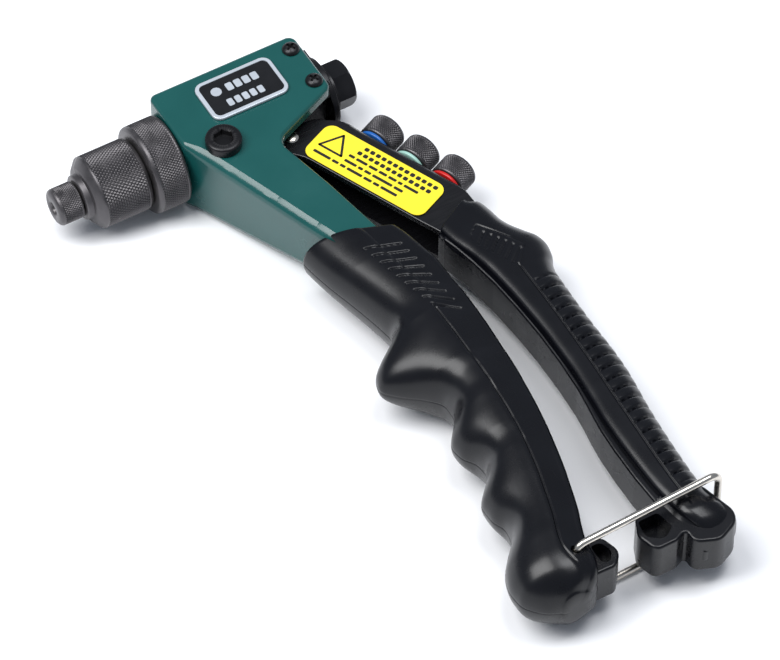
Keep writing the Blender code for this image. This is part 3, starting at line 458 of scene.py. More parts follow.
# ------------------------------------------------------------------------------------------------ turned pieces
def lathed(name, profile, look, origin=(0, 0, Z0), direction=(1, 0, 0), sides=96, knurl=None):
    """Turns a closed profile of (distance, radius). knurl is (from, to, smallest radius, teeth, depth, lead in mm)."""
    along, side, up = frame_of(direction)
    stations = []
    for k, (s, r) in enumerate(profile):
        stations.append((s, r, 0.0))
        if knurl:
            s2, r2 = profile[(k + 1) % len(profile)]
            low, high, least = knurl[0], knurl[1], knurl[2]
            if r >= least and r2 >= least and abs(s2 - s) > 0.4 and min(s, s2) < high and max(s, s2) > low:
                teeth, depth, lead = knurl[3:6]
                rows = max(2, int(abs(s2 - s) / (lead / 6.0)))
                for q in range(1, rows):
                    at = s + (s2 - s) * q / rows
                    fade = min(1.0, max(0.0, (at - low) / 0.25), max(0.0, (high - at) / 0.25))
                    stations.append((at, r + (r2 - r) * q / rows, fade))
    if knurl:
        sides = knurl[3] * 6
    turn = 2 * np.pi * np.arange(sides) / sides
    rings = []
    for s, r, amount in stations:
        radius = np.full(sides, float(r))
        if amount:
            teeth, depth, lead = knurl[3:6]
            u = (teeth * turn / (2 * np.pi) + s / lead) % 1.0
            v = (teeth * turn / (2 * np.pi) - s / lead) % 1.0
            tooth = np.minimum(1 - np.abs(2 * u - 1), 1 - np.abs(2 * v - 1))
            radius = radius - amount * depth * (1 - np.minimum(1.0, tooth * 1.5))
        ring = (np.array(origin)[None] + np.array(along)[None] * s + np.array(side)[None] * (radius * np.cos(turn))[:, None]
                + np.array(up)[None] * (radius * np.sin(turn))[:, None])
        rings.append(ring)
    return smooth(skin(name, np.array(rings), look, looped=True), 38)


NOSE_R, NOSE_L, STEM_R, STEM_L = 6.2, 8.4, 4.0, 6.6


def nosepiece(name, origin, direction):
    bore = 1.9
    profile = [(0.0, bore + 0.75), (0.0, NOSE_R - 1.9), (0.08, NOSE_R - 1.4), (0.3, NOSE_R - 0.85), (0.65, NOSE_R - 0.35), (1.1, NOSE_R - 0.08),
               (1.5, NOSE_R), (NOSE_L - 0.6, NOSE_R), (NOSE_L - 0.3, NOSE_R - 0.08), (NOSE_L - 0.05, NOSE_R - 0.35), (NOSE_L, NOSE_R - 0.6),
               (NOSE_L, STEM_R)]
    s = NOSE_L + 0.3
    while s < NOSE_L + STEM_L - 0.9:
        profile += [(s, STEM_R), (s + 0.2, STEM_R - 0.35), (s + 0.45, STEM_R - 0.35), (s + 0.65, STEM_R)]
        s += 1.0
    profile += [(NOSE_L + STEM_L - 0.6, STEM_R), (NOSE_L + STEM_L, STEM_R - 0.6), (NOSE_L + STEM_L, bore), (0.7, bore), (0.25, bore + 0.35)]
    return lathed(name, profile, "dark", origin, direction, knurl=(0.9, NOSE_L - 0.5, NOSE_R - 0.3, 46, 0.3, 1.15))


place(nosepiece("fine_nosepiece_fitted", (0, 0, Z0), (1, 0, 0)), "frame", "nosepiece_fitted")

SLEEVE_R, SLEEVE_X0, SLEEVE_X1, SPIGOT_R, SPIGOT_X1 = 12.2, 8.8, 30.2, 8.9, 46.8
COLLAR_R, COLLAR_X0, COLLAR_X1 = 14.9, 30.6, 42.1
place(lathed(
    "fine_nose_sleeve",
    [(SLEEVE_X0, 4.5), (SLEEVE_X0, 6.9), (SLEEVE_X0 + 0.15, 7.35), (SLEEVE_X0 + 0.5, 7.6), (10.5, 7.6), (10.8, 7.75), (10.95, 8.1), (11.0, 9.2),
     (11.15, 9.6), (13.0, SLEEVE_R - 0.45), (13.35, SLEEVE_R - 0.12), (13.7, SLEEVE_R), (SLEEVE_X1 - 1.5, SLEEVE_R), (SLEEVE_X1 - 0.8, SLEEVE_R - 0.25),
     (SLEEVE_X1 - 0.2, SLEEVE_R - 0.8), (SLEEVE_X1, SLEEVE_R - 1.3), (SLEEVE_X1, SPIGOT_R), (SPIGOT_X1 - 0.4, SPIGOT_R),
     (SPIGOT_X1, SPIGOT_R - 0.4), (SPIGOT_X1, 8.05), (22.6, 8.05), (15.8, 5.2), (15.8, 4.5)],
    "dark", knurl=(13.9, SLEEVE_X1 - 1.3, SLEEVE_R - 0.05, 62, 0.42, 1.6)), "frame", "nose_sleeve")
place(lathed(
    "fine_lock_collar",
    [(COLLAR_X0, SPIGOT_R + 0.4), (COLLAR_X0, COLLAR_R - 1.4), (COLLAR_X0 + 0.25, COLLAR_R - 0.75), (COLLAR_X0 + 0.7, COLLAR_R - 0.25),
     (COLLAR_X0 + 1.2, COLLAR_R - 0.06), (COLLAR_X0 + 1.5, COLLAR_R), (COLLAR_X1 - 0.8, COLLAR_R), (COLLAR_X1 - 0.3, COLLAR_R - 0.2),
     (COLLAR_X1 - 0.05, COLLAR_R - 0.55), (COLLAR_X1, COLLAR_R - 0.9), (COLLAR_X1, SPIGOT_R + 0.4)],
    "dark", knurl=(COLLAR_X0 + 1.6, COLLAR_X1 - 0.9, COLLAR_R - 0.05, 92, 0.3, 1.35)), "collar", "lock_collar")


# ------------------------------------------------------------------------------------------------ casting
ARM_FRONT = ((42.5, -8.6), (67.6, -67.0))
SLOT_HALF, BORE_R = 7.75, 9.3
SCREWS = ((91.4, 9.0), (91.4, -6.2))


def head_half(x, y):
    t = min(max((-17.0 - y) / 50.0, 0.0), 1.0)
    return HEAD_HALF + (ARM_HALF - HEAD_HALF) * (t * t * (3 - 2 * t) * 0.35 + t * 0.65)


def arm_outline():
    return rounded([
        (42.5, 14.9, 2.5), (42.5, -8.6, 5.0), (67.6, -67.0, 0), (70.4, -73.6, 0), (83.9, -77.3, 0), (82.1, -68.9, 0),
        (76.2, -44.2, 60.0), (69.7, -21.6, 4.5), (95.2, -10.4, 3.6), (95.2, 14.9, 3.0),
    ], 9)


def split(outline, length):
    """Adds points so that no side is longer than length."""
    out = []
    for i, b in enumerate(outline):
        a = outline[i - 1]
        parts = max(1, math.ceil(math.dist(a, b) / length))
        out += [(a[0] + (b[0] - a[0]) * k / parts, a[1] + (b[1] - a[1]) * k / parts) for k in range(1, parts + 1)]
    return out


def edge_round(x, y):
    """Rounding of the casting's rims: broad along the front of the arm, tight elsewhere."""
    (ax, ay), (bx, by) = ARM_FRONT
    off = abs((x - ax) * (by - ay) - (y - ay) * (bx - ax)) / math.hypot(bx - ax, by - ay)
    k = min(max((-6.0 - y) / 9.0, 0.0), 1.0) * (1.0 if off < 2.0 else 0.0)
    k = k * k * (3 - 2 * k)
    return 1.3 + 2.5 * k


def casting():
    body = plate("fine_frame_casting", split(arm_outline(), 4.0), "paint",
                 lambda x, y: Z0 - head_half(x, y), lambda x, y: Z0 + head_half(x, y), edge_round, 6)
    work = bmesh.new()
    work.from_mesh(body.data)
    for k in range(34):
        y = (-17.0 - 1.6 * k - MIDDLE[1]) * MM
        everything = list(work.verts) + list(work.edges) + list(work.faces)
        bmesh.ops.bisect_plane(work, geom=everything, plane_co=(0, y, 0), plane_no=(0, 1, 0), dist=1e-7)
    for v in work.verts:
        z = v.co.z / MM
        if abs(z - Z0) > 8 and all(abs(f.normal.z) > 0.85 for f in v.link_faces):
            x, y = v.co.x / MM + MIDDLE[0], v.co.y / MM + MIDDLE[1]
            v.co.z = (Z0 + math.copysign(head_half(x, y), z - Z0)) * MM
    work.to_mesh(body.data)
    work.free()
    boolean(body, lathe("bore", [(40, 0), (40, BORE_R), (99, BORE_R), (99, 0)], "paint", sides=64))
    slot = [(46.4, 6.5), (46.4, -10.0), (47.6, -14.7), (50.6, -21.6), (68.2, -59.5), (90.0, -59.5), (100.0, -30.0), (100.0, 6.5)]
    boolean(body, plate("slot", slot, "paint", Z0 - SLOT_HALF, Z0 + SLOT_HALF, 0, 0))
    boolean(body, block("chamber", (72.4, -30.0, Z0 - 11.1), (110.0, 10.4, Z0 + 11.1), "paint"))
    boolean(body, post("hole", *PIVOT, -5, 40, 3.3, "paint", 48))
    boolean(body, plate("nut_seat", hexagon(10.6, 0.3, PIVOT), "paint", -5.0, 3.4, 0, 0))
    for x, y in SCREWS:
        boolean(body, post("hole", x, y, Z0 + 5, 40, 1.8, "paint", 32))
    return even_normals(body, 28)


place(casting(), "frame", "frame_casting")


# ------------------------------------------------------------------------------------------------ nameplate, bolt and screws
def tilted_box(centre, size, radius, angle=0.0, step=10, trim=0.0):
    w, h = size[0] / 2 - trim, size[1] / 2 - trim
    r = max(radius - trim, 0.05)
    c, s = math.cos(angle), math.sin(angle)
    return [
        (centre[0] + x * c - y * s, centre[1] + x * s + y * c)
        for x, y in rounded([(-w, -h, r), (w, -h, r), (w, h, r), (-w, h, r)], step)
    ]


NP, NPS = (69.6, 2.0), (27.4, 16.6)
border = plate("fine_nameplate_border", tilted_box(NP, NPS, 3.2), "silver", 30.05, 31.2, 0.35, 4)
boolean(border, plate("well", tilted_box(NP, NPS, 3.2, trim=1.3), "silver", 30.6, 33, 0, 0))
place(even_normals(border, 50), "frame", "nameplate_border")
place(plate("fine_nameplate_field", tilted_box(NP, NPS, 3.2, trim=1.32), "field", 30.55, 30.95, 0, 0), "frame", "nameplate_field")


def marks(name, boxes, look, low, high, body):
    """Plain printed bars as one thin piece: (centre, size, radius, angle) for each."""
    points, faces = [], []
    for centre, size, radius, angle in boxes:
        outline = tilted_box(centre, size, radius, angle, 30)
        start, n = len(points), len(outline)
        points += [(x, y, low) for x, y in outline] + [(x, y, high) for x, y in outline]
        faces += [(start + i, start + (i + 1) % n, start + n + (i + 1) % n, start + n + i) for i in range(n)]
        faces += [tuple(start + i for i in range(n))[::-1], tuple(start + n + i for i in range(n))]
    made = build(name, points, faces, look)
    place(made, body)
    return made


bars = [((61.8, 4.6), (3.6, 3.6), 1.75, 0.0)]
bars += [((66.6 + 3.0 * k, 4.6), (2.3, 3.2), 0.5, 0.0) for k in range(4)]
bars += [((63.8 + 2.75 * k, -1.3), (2.0, 3.0), 0.5, 0.0) for k in range(5)]
marks("nameplate_plain_blocks", bars, "silver", 30.93, 31.06, "frame")

bolt = lathe("fine_pivot_bolt",
             [(1.0, 0), (1.0, 2.7), (1.3, 3.0), (30.1, 3.0), (30.1, 5.65), (30.2, 5.82), (30.45, 5.9), (32.5, 5.9), (32.85, 5.8), (33.15, 5.55),
              (33.35, 5.2), (33.45, 4.7), (33.5, 4.2), (33.5, 0)], "black", (*PIVOT, 0), (0, 0, 1), 96)
boolean(bolt, plate("socket", hexagon(5.8, 0.2, PIVOT), "black", 31.1, 36, 0, 0))
boolean(bolt, lathe("lead_in", [(33.0, 0), (33.0, 2.95), (34.0, 3.95), (34.0, 0)], "black", (*PIVOT, 0), (0, 0, 1), 64))
place(even_normals(bolt, 30), "frame", "pivot_bolt")


def cross_screw(name, x, y):
    top = 30.05
    profile = [(top - 7, 0), (top - 7, 1.45), (top, 1.45), (top, 2.72), (top + 0.12, 2.84), (top + 0.45, 2.86), (top + 0.8, 2.72), (top + 1.15, 2.42),
               (top + 1.45, 1.95), (top + 1.7, 1.35), (top + 1.85, 0.7), (top + 1.9, 0)]
    screw = lathe(name, profile, "black", (x, y, 0), (0, 0, 1), 64)
    for turn in (0.5, 0.5 + math.pi / 2):
        boolean(screw, plate("recess", tilted_box((x, y), (3.3, 0.75), 0.1, turn, 45), "black", top + 0.75, top + 4, 0, 0))
    boolean(screw, lathe("centre", [(top + 0.7, 0), (top + 0.7, 0.5), (top + 2.2, 1.0), (top + 2.2, 0)], "black", (x, y, 0), (0, 0, 1), 32))
    return even_normals(screw, 30)


for n, (x, y) in enumerate(SCREWS):
    place(cross_screw(f"fine_rear_screw_{n + 1}", x, y), "frame", f"rear_screw_upper_{n + 1}")

# ------------------------------------------------------------------------------------------------ rear plug and cap
TUBE_R = 4.9
plug = block("fine_rear_plug", (86.8, -6.4, Z0 - 10.8), (97.0, 10.1, Z0 + 10.8), "black")
boolean(plug, lathe("disc", [(95.6, 0), (95.6, 11.5), (95.75, 11.85), (96.05, 12.0), (97.5, 12.0), (97.85, 11.85), (98.0, 11.5), (98.0, 0)],
                    "black", sides=96), "UNION")
for side in (-1, 1):
    z = sorted((Z0 + side * 8.1, Z0 + side * 10.8))
    boolean(plug, block("lug", (86.0, -9.4, z[0]), (95.2, -6.0, z[1]), "black"), "UNION")
boolean(plug, lathe("bore", [(80, 0), (80, TUBE_R + 0.35), (120, TUBE_R + 0.35), (120, 0)], "black", sides=64))
place(even_normals(plug, 30), "frame", "rear_plug")

cap = lathe("fine_rear_cap",
            [(98.15, 3.4), (98.15, 7.5), (98.3, 7.9), (98.7, 8.1), (105.2, 8.1), (105.8, 7.95), (106.2, 7.6), (106.5, 7.1), (106.6, 6.6), (106.6, 3.8), (106.3, 3.4)],
            "black", sides=96)
for k in range(6):
    a = 0.35 + math.pi * k / 3
    c, s = math.cos(a), math.sin(a)
    square = [(7.0, -12), (13, -12), (13, 12), (7.0, 12)]
    corner = [(u * c - v * s, Z0 + u * s + v * c) for u, v in square]
    points = [(99.9, y, z) for y, z in corner] + [(109.6, y, z) for y, z in corner]
    boolean(cap, build("flat", points, [(0, 1, 2, 3), (7, 6, 5, 4), (0, 4, 5, 1), (1, 5, 6, 2), (2, 6, 7, 3), (3, 7, 4, 0)], "black"))
place(even_normals(cap, 25), "frame", "rear_cap")

# ------------------------------------------------------------------------------------------------ lever
LEVER_DIR = math.radians(-65.8)
PLATE_HALF, PLATE_IN = 7.3, 5.3
along = (math.cos(LEVER_DIR), math.sin(LEVER_DIR))
out = (-along[1], along[0])
LEVER_W = 20.6
FORK = (PIVOT[0] + 17.5 * math.sin(math.radians(7.75)), PIVOT[1] + 17.5 * math.cos(math.radians(7.75)))


def lever_point(s, t):
    return (76.6 + along[0] * s + out[0] * t, -26.6 + along[1] * s + out[1] * t)


def lever_outline():
    ear, tip = 5.0, 2.6
    return rounded([
        (FORK[0] - tip, FORK[1] + tip, tip), (52.3, -6.4, 3.0), (PIVOT[0] - ear, -10.2, 2.0), (PIVOT[0] - ear, PIVOT[1] - ear, ear),
        (PIVOT[0] + 6.0, PIVOT[1] - ear, 6.0), (71.3, -21.0, 6.0),
        (*lever_point(0, 0), 10.0), (*lever_point(44, 0), 20.0), (101.6, -81.0, 20.0), (104.9, -100.0, 20.0), (106.5, -120.0, 20.0), (106.4, -186.0, 2.0),
        (113.6, -186.0, 2.0), (114.4, -120.0, 20.0), (114.3, -84.0, 20.0), (*lever_point(44.5, LEVER_W), 10.0), (*lever_point(3.0, LEVER_W), 3.0),
        (*lever_point(-8.0, 14.0), 6.0), (81.0, -13.8, 8.0), (61.0, -9.9, 2.0), (56.2, -9.2, 1.5),
        (56.2, -6.6, 2.0), (FORK[0] + tip, FORK[1] + tip, tip),
    ], 10)


def back_round(x, y):
    s = (x - 76.6) * along[0] + (y + 26.6) * along[1]
    t = (x - 76.6) * out[0] + (y + 26.6) * out[1]
    if -1 < s < 50 and t > 15:
        k = min(1.0, max(0.0, (s + 1) / 6.0), max(0.0, (50.0 - s) / 7.0))
        return 0.45 + 3.1 * k * k * (3 - 2 * k)
    return 0.45


channel = plate("fine_lever_channel", split(lever_outline(), 3.0), "sheet", Z0 - PLATE_HALF, Z0 + PLATE_HALF, back_round, 6)
inner = rounded([
    (40, 20, 0), (40, -60, 0), (88, -84.0, 0), (99, -192, 0), (111.4, -192.0, 0), (112.2, -120.0, 20.0), (112.0, -84.0, 20.0),
    (*lever_point(44.5, LEVER_W - 2.2), 10.0), (*lever_point(4.0, LEVER_W - 2.2), 2.0), (*lever_point(-2.5, 15.5), 2.0), (90, 20, 0),
], 10)
boolean(channel, plate("hollow", inner, "sheet", Z0 - PLATE_IN, Z0 + PLATE_IN, 0, 0))
boolean(channel, post("hole", *PIVOT, -5, 40, 3.3, "sheet", 48))
LEVER_PIN = (76.6, -17.4)
boolean(channel, post("hole", *LEVER_PIN, -5, 40, 1.9, "sheet", 32))
spare_at = [lever_point(11.2 + 13.9 * k, LEVER_W + 0.3) for k in range(3)]
for x, y in spare_at:
    boolean(channel, lathe("hole", [(-12, 0), (-12, STEM_R + 0.4), (6, STEM_R + 0.4), (6, 0)], "sheet", (x, y, Z0), (*out, 0), 48))
place(even_normals(channel, 30), "lever", "lever_channel")

place(lathe("fine_lever_pin",
            [(Z0 - 8.4, 0), (Z0 - 8.38, 0.8), (Z0 - 8.2, 1.6), (Z0 - 7.9, 2.15), (Z0 - 7.6, 2.4), (Z0 - 7.6, 1.6), (Z0 + 7.6, 1.6), (Z0 + 7.6, 2.4),
             (Z0 + 7.9, 2.15), (Z0 + 8.2, 1.6), (Z0 + 8.38, 0.8), (Z0 + 8.4, 0)],
            "bright", (*LEVER_PIN, 0), (0, 0, 1), 48), "lever", "lever_pin")

TOP = Z0 + PLATE_HALF
label_centre = lever_point(21.1, 8.1)
place(smooth(plate("fine_lever_label", tilted_box(label_centre, (46.2, 15.2), 3.4, LEVER_DIR, 8), "yellow", TOP + 0.3, TOP + 0.6, 0.08, 1), 40),
      "lever", "lever_label")


def on_label(u, v):
    """A point u along the label's length from its upper end, v from its front long edge."""
    return lever_point(u - 2.0, v + 0.5)


def line_of_bars(u, v, widths, height, gap, limit):
    row = []
    for w in widths:
        if u + w > limit:
            break
        row.append((on_label(u + w / 2, v), (w, height), min(height * 0.3, w * 0.3), LEVER_DIR))
        u += w + gap
    return row


bars = line_of_bars(15.6, 12.9, [1.6] * 13, 1.5, 0.62, 44.2)
bars += line_of_bars(14.6, 10.4, [1.6] * 13, 1.5, 0.62, 43.4)
bars += line_of_bars(13.0, 7.9, [2.2, 4.2, 3.2, 3.0, 3.0, 1.6, 5.4], 1.05, 0.7, 44.4)
bars += line_of_bars(13.0, 5.5, [4.6, 1.8, 2.4, 7.6, 3.4], 1.05, 0.7, 40.6)
bars += line_of_bars(2.6, 3.1, [6.6, 2.4, 2.0, 5.8, 3.0, 2.2, 6.2], 1.05, 0.7, 36.0)
marks("label_plain_bars", bars, "ink", TOP + 0.58, TOP + 0.63, "lever")


def triangle(u, v, size):
    """Outline of a plain triangle whose sides are bars."""
    tips = [(u - size / 2, v - size * 0.4), (u + size / 2, v - size * 0.4), (u, v + size * 0.46)]
    sides = []
    for k in range(3):
        a, b = Vector(on_label(*tips[k])), Vector(on_label(*tips[(k + 1) % 3]))
        mid, run = (a + b) / 2, b - a
        sides.append(((mid.x, mid.y), (run.length + 0.7, 0.8), 0.38, math.atan2(run.y, run.x)))
    return sides


marks("label_plain_triangle", triangle(7.0, 9.4, 8.6), "ink", TOP + 0.585, TOP + 0.635, "lever")

for k, ((x, y), name) in enumerate(zip(spare_at, ("blue", "pale", "red"))):
    place(lathed(f"fine_ring_{name}",
                 [(0.0, STEM_R + 0.3), (0.0, NOSE_R - 0.75), (0.1, NOSE_R - 0.58), (0.25, NOSE_R - 0.5), (0.85, NOSE_R - 0.5), (1.0, NOSE_R - 0.6), (1.0, STEM_R + 0.3)],
                 name, (x, y, Z0), (*out, 0), 72), "lever", f"ring_{name}")
    far = 1.3 + NOSE_L
    place(nosepiece(f"fine_spare_nosepiece_{k + 1}", (x + out[0] * far, y + out[1] * far, Z0), (-out[0], -out[1], 0)), "lever", f"spare_nosepiece_{k + 1}")


# ------------------------------------------------------------------------------------------------ grips
def resampled(points, marker, before, after, near=8.0, counts=(54, 30, 30, 22)):
    """Points along a polyline: close together within near of the marked distance, and on both sides of the groove there."""
    points = np.asarray(points, float)
    run = np.concatenate([[0], np.cumsum(np.linalg.norm(np.diff(points, axis=0), axis=1))])
    mark, end = run[marker], run[-1]
    low, high = min(near * before, mark * 0.5), min(near * after, (end - mark) * 0.6)
    gap = min(0.8, low * 0.4, high * 0.4)
    at = np.concatenate([
        np.linspace(0, mark - low, counts[0]), np.linspace(mark - low, mark - gap, counts[1])[1:],
        mark + gap * np.linspace(-0.8, 0.8, 9), np.linspace(mark + gap, mark + high, counts[2]), np.linspace(mark + high, end, counts[3])[1:],
    ])
    return np.stack([np.interp(at, run, points[:, k]) for k in range(points.shape[1])], axis=1)


def away(x, y, line):
    """Distance of every (x, y) from a polyline."""
    best = np.full(x.shape, 1e9)
    for (ax, ay), (bx, by) in zip(line, line[1:]):
        dx, dy = bx - ax, by - ay
        k = np.clip(((x - ax) * dx + (y - ay) * dy) / (dx * dx + dy * dy), 0, 1)
        best = np.minimum(best, np.hypot(x - ax - k * dx, y - ay - k * dy))
    return best


def groove(distance, width, depth):
    """Depth of a round-bottomed groove at this distance from its middle line."""
    k = np.clip(1 - distance / (width / 2), 0, 1)
    return depth * k * k * (3 - 2 * k)


def curve(stations, step=2.0):
    """(value, t) points of a smooth curve, as (x, y)."""
    t0, t1 = stations[0][0], stations[-1][0]
    count = max(2, int(abs(t1 - t0) / step))
    return [(spline(stations, t0 + (t1 - t0) * k / count), t0 + (t1 - t0) * k / count) for k in range(count + 1)]


GRIP_ROWS = [
    (-58.0, 57.2, 85.5, 12.6), (-62.0, 57.7, 87.2, 13.0), (-70.0, 59.4, 88.6, 13.3), (-80.0, 62.2, 89.8, 13.7), (-88.0, 64.2, 90.8, 14.1),
    (-94.5, 65.6, 91.3, 14.4), (-98.5, 66.2, 91.6, 14.6), (-102.0, 64.4, 91.8, 14.8), (-106.5, 58.2, 91.8, 14.9), (-110.5, 53.9, 91.7, 15.0),
    (-114.5, 53.0, 91.6, 15.0), (-119.0, 56.6, 91.3, 15.0), (-125.0, 64.0, 90.9, 15.0), (-130.0, 67.6, 90.5, 14.9), (-134.5, 67.6, 90.2, 14.9),
    (-139.5, 64.4, 89.7, 15.0), (-144.5, 61.2, 89.1, 15.0), (-149.0, 61.8, 88.5, 14.9), (-153.5, 64.6, 87.8, 14.7), (-157.5, 65.2, 87.1, 14.5),
    (-162.5, 62.4, 86.1, 14.5), (-168.5, 57.6, 84.8, 14.4), (-174.0, 57.8, 83.5, 14.2), (-179.0, 59.6, 82.1, 14.0), (-184.0, 58.8, 80.7, 13.9),
    (-189.0, 54.4, 79.1, 13.9), (-194.5, 50.3, 76.9, 14.0), (-200.0, 48.9, 75.2, 14.0), (-205.0, 49.4, 74.6, 13.6), (-209.0, 52.0, 73.6, 12.4),
    (-212.0, 55.4, 71.4, 10.2), (-213.8, 59.6, 68.2, 6.6),
]
# front of the grip without its finger swells, which fade out towards the crest
STEM = [(-58.0, 57.2), (-80.0, 62.2), (-98.0, 66.4), (-116.0, 67.6), (-134.0, 67.8), (-157.0, 65.4), (-180.0, 60.0), (-194.0, 53.5), (-204.0, 50.0), (-213.8, 59.6)]
STRIP = [(-58.0, 11.0), (-100.0, 12.8), (-130.0, 11.4), (-162.0, 9.6), (-200.0, 8.6), (-213.8, 4.0)]
RIM_SLOPE = -0.297


def front_grip():
    stations = list(np.arange(-60.6, -66.0, -0.5)) + list(np.arange(-66.0, -109.0, -0.3)) + list(np.arange(-109.0, -211.0, -0.62))
    stations += list(np.arange(-211.0, -213.7, -0.3))
    rings = []
    rows = {k: [(r[0], r[k]) for r in GRIP_ROWS] for k in (1, 2, 3)}
    fine = np.arange(-213.8, -57.9, 0.25)
    swell = np.array([spline(rows[1], u) - spline(STEM, u) for u in fine])
    angles = np.linspace(0, math.pi / 2 - 1e-6, 70)
    blur = 0.7 + 4.5 * np.sin(angles) ** 1.5
    offsets = np.linspace(-2.2, 2.2, 15)
    weights = np.exp(-offsets ** 2 / 2)
    weights /= weights.sum()
    for t in stations:
        back, h = (spline(rows[k], t) for k in (2, 3))
        stem = spline(STEM, t)
        sampled = np.interp(t + blur[:, None] * offsets[None], fine, swell)
        swelling = (sampled * weights[None]).sum(axis=1)
        front = stem + swelling[0]
        strip = min(spline(STRIP, t), (back - front) * 0.42)
        crest, seam = back - strip - 2.0, back - strip
        mouth = min(max((-82.0 - t) / 16.0, 0.0), 1.0)
        low = h - 0.6 - strip * (0.07 + 0.19 * mouth * mouth * (3 - 2 * mouth))
        corner = min(2.4, low * 0.4)
        half = [(crest - (crest - stem) * math.cos(a) ** 0.97 + more * math.cos(a) ** 1.5, h * math.sin(a) ** 0.95)
                for a, more in zip(angles, swelling)]
        for k in range(1, 9):
            q = k / 8
            half.append((crest + 2.0 * q, h - 0.5 * q * q))
        marker = len(half) - 1
        edge = (back - corner, low + 0.02 * corner)
        for k in range(1, 13):
            q = k / 12
            half.append((seam + (edge[0] - seam) * q, (h - 0.5) + (edge[1] - h + 0.5) * q))
        for a in np.linspace(0.1, math.pi / 2, 9):
            half.append((back - corner + corner * math.sin(a), low - corner + corner * math.cos(a)))
        half.append((back + 0.12, 0.0))
        half = resampled(half, marker, 1.0, 1.0)
        skew = min(max((t + 84.0) / 22.0, 0.0), 1.0)
        ring = [(x, t + skew * RIM_SLOPE * (x - 62.0), z) for x, z in half]
        ring += [(x, y, -z) for x, y, z in ring[-2:0:-1]]
        rings.append(ring)
    # rounded rim at the mouth
    first = np.array(rings[0])
    middle = first.mean(axis=0)
    rim = []
    for k in range(5, 0, -1):
        a = math.pi / 2 * k / 5
        inner = middle + (first - middle) * np.array([1 - 0.055 * (1 - math.cos(a)), 1, 1 - 0.085 * (1 - math.cos(a))])
        inner[:, 1] = first[:, 1] + 1.1 * math.sin(a)
        rim.append(inner)
    tail = np.array(rings[-1])
    heart = tail.mean(axis=0)
    foot = []
    for k in range(1, 7):
        a = math.pi / 2 * k / 6
        ring = heart + (tail - heart) * (0.35 + 0.65 * math.cos(a))
        ring[:, 1] = tail[:, 1] - 0.9 * math.sin(a)
        foot.append(ring)
    grid = np.array(rim + [np.array(r) for r in rings] + foot)
    x, y, z = grid[..., 0], grid[..., 1], grid[..., 2]
    seam = [(spline(rows[2], t) - spline(STRIP, t), t) for t in np.arange(-103.5, -207.0, -1.0)]
    depth = np.zeros(x.shape)
    facing = np.clip((np.abs(z) - 7.0) / 2.0, 0, 1)
    depth += groove(away(x, y, seam), 1.3, 0.5)
    for k in range(9):
        q = k / 8
        a = (72.1 + (78.5 - 72.1) * q, -72.5 + (-102.7 + 72.5) * q)
        b = (83.2 + (86.4 - 83.2) * q, -75.6 + (-106.8 + 75.6) * q)
        depth = np.maximum(depth, groove(away(x, y, [a, b]), 1.35, 0.5))
    # shallow step: the strip behind the seam stands a little lower than the palm side
    z = np.sign(z) * (np.abs(z) - depth * facing)
    # parting line round the middle
    split_line = groove(np.abs(z), 0.7, 0.18)
    x = np.where(x < 75, x + split_line, x - split_line)
    grid = np.stack([x, y, z + Z0], axis=-1)
    body = skin("fine_front_grip", grid, "grip")
    boolean(body, plate("arm_seat", [(60.0, -50.0), (67.2, -67.2), (69.95, -74.05), (84.4, -77.95), (82.5, -68.8), (79.4, -55.0)], "grip",
                        Z0 - 11.45, Z0 + 11.45, 0, 0))
    boolean(body, post("wire_hole", 69.5, -202.7, -5, 40, 1.55, "grip", 32))
    return smooth(body, 42)


place(front_grip(), "frame", "front_grip")
lug = plate("front_grip_lug", split(rounded([(66.0, -199.4, 0), (66.0, -210.4, 0), (79.0, -210.8, 2.6), (82.9, -206.5, 4.0), (80.8, -199.8, 3.0), (77.0, -198.4, 1.0)], 9), 1.5),
            "grip", Z0 - 7.3, Z0 + 7.3, 0.9, 4)
for side in (-1, 1):
    z = sorted((Z0 + side * 2.0, Z0 + side * 12.0))
    boolean(lug, plate("pocket", rounded([(75.8, -201.0, 1.0), (75.8, -208.0, 2.0), (78.4, -208.6, 2.4), (80.6, -205.6, 2.4), (79.2, -201.2, 2.0)], 12),
                       "grip", z[0], z[1], 0, 0))
place(even_normals(lug, 35), "frame")

OUTER = [
    (-65.0, 113.5), (-66.3, 115.0), (-68.0, 116.8), (-72.0, 117.9), (-77.0, 118.7), (-81.0, 120.2), (-86.4, 123.4),
    (-90.5, 126.0), (-93.5, 126.6), (-97.0, 125.9), (-100.5, 124.0), (-105.0, 122.9), (-110.0, 122.8), (-118.0, 122.5),
    (-128.0, 122.4), (-138.0, 122.6), (-146.0, 122.4), (-154.0, 121.6), (-162.0, 120.5), (-170.0, 119.7), (-180.0, 119.0),
    (-190.0, 118.5), (-200.0, 118.3), (-204.0, 119.4), (-208.0, 121.0), (-212.0, 121.4), (-215.5, 120.0), (-218.5, 116.8),
    (-221.0, 112.2),
]
RAIL = [(-70.0, 96.4), (-76.5, 97.2), (-82.0, 98.8), (-90.0, 100.6), (-100.0, 102.2), (-112.0, 103.3), (-124.0, 103.9), (-136.0, 103.9),
        (-148.0, 103.3), (-154.0, 102.6), (-160.0, 101.7), (-166.0, 101.0), (-174.0, 100.6), (-186.0, 100.5), (-196.0, 101.0)]
RIDGE = [(-70.0, 97.6), (-78.0, 98.6), (-90.0, 101.6), (-100.0, 103.2), (-115.0, 104.5), (-128.0, 105.0), (-140.0, 104.9), (-155.0, 103.9),
         (-165.0, 103.0), (-177.0, 102.7), (-190.0, 102.9), (-202.0, 104.2), (-212.0, 107.0), (-217.0, 109.2), (-221.0, 110.4)]
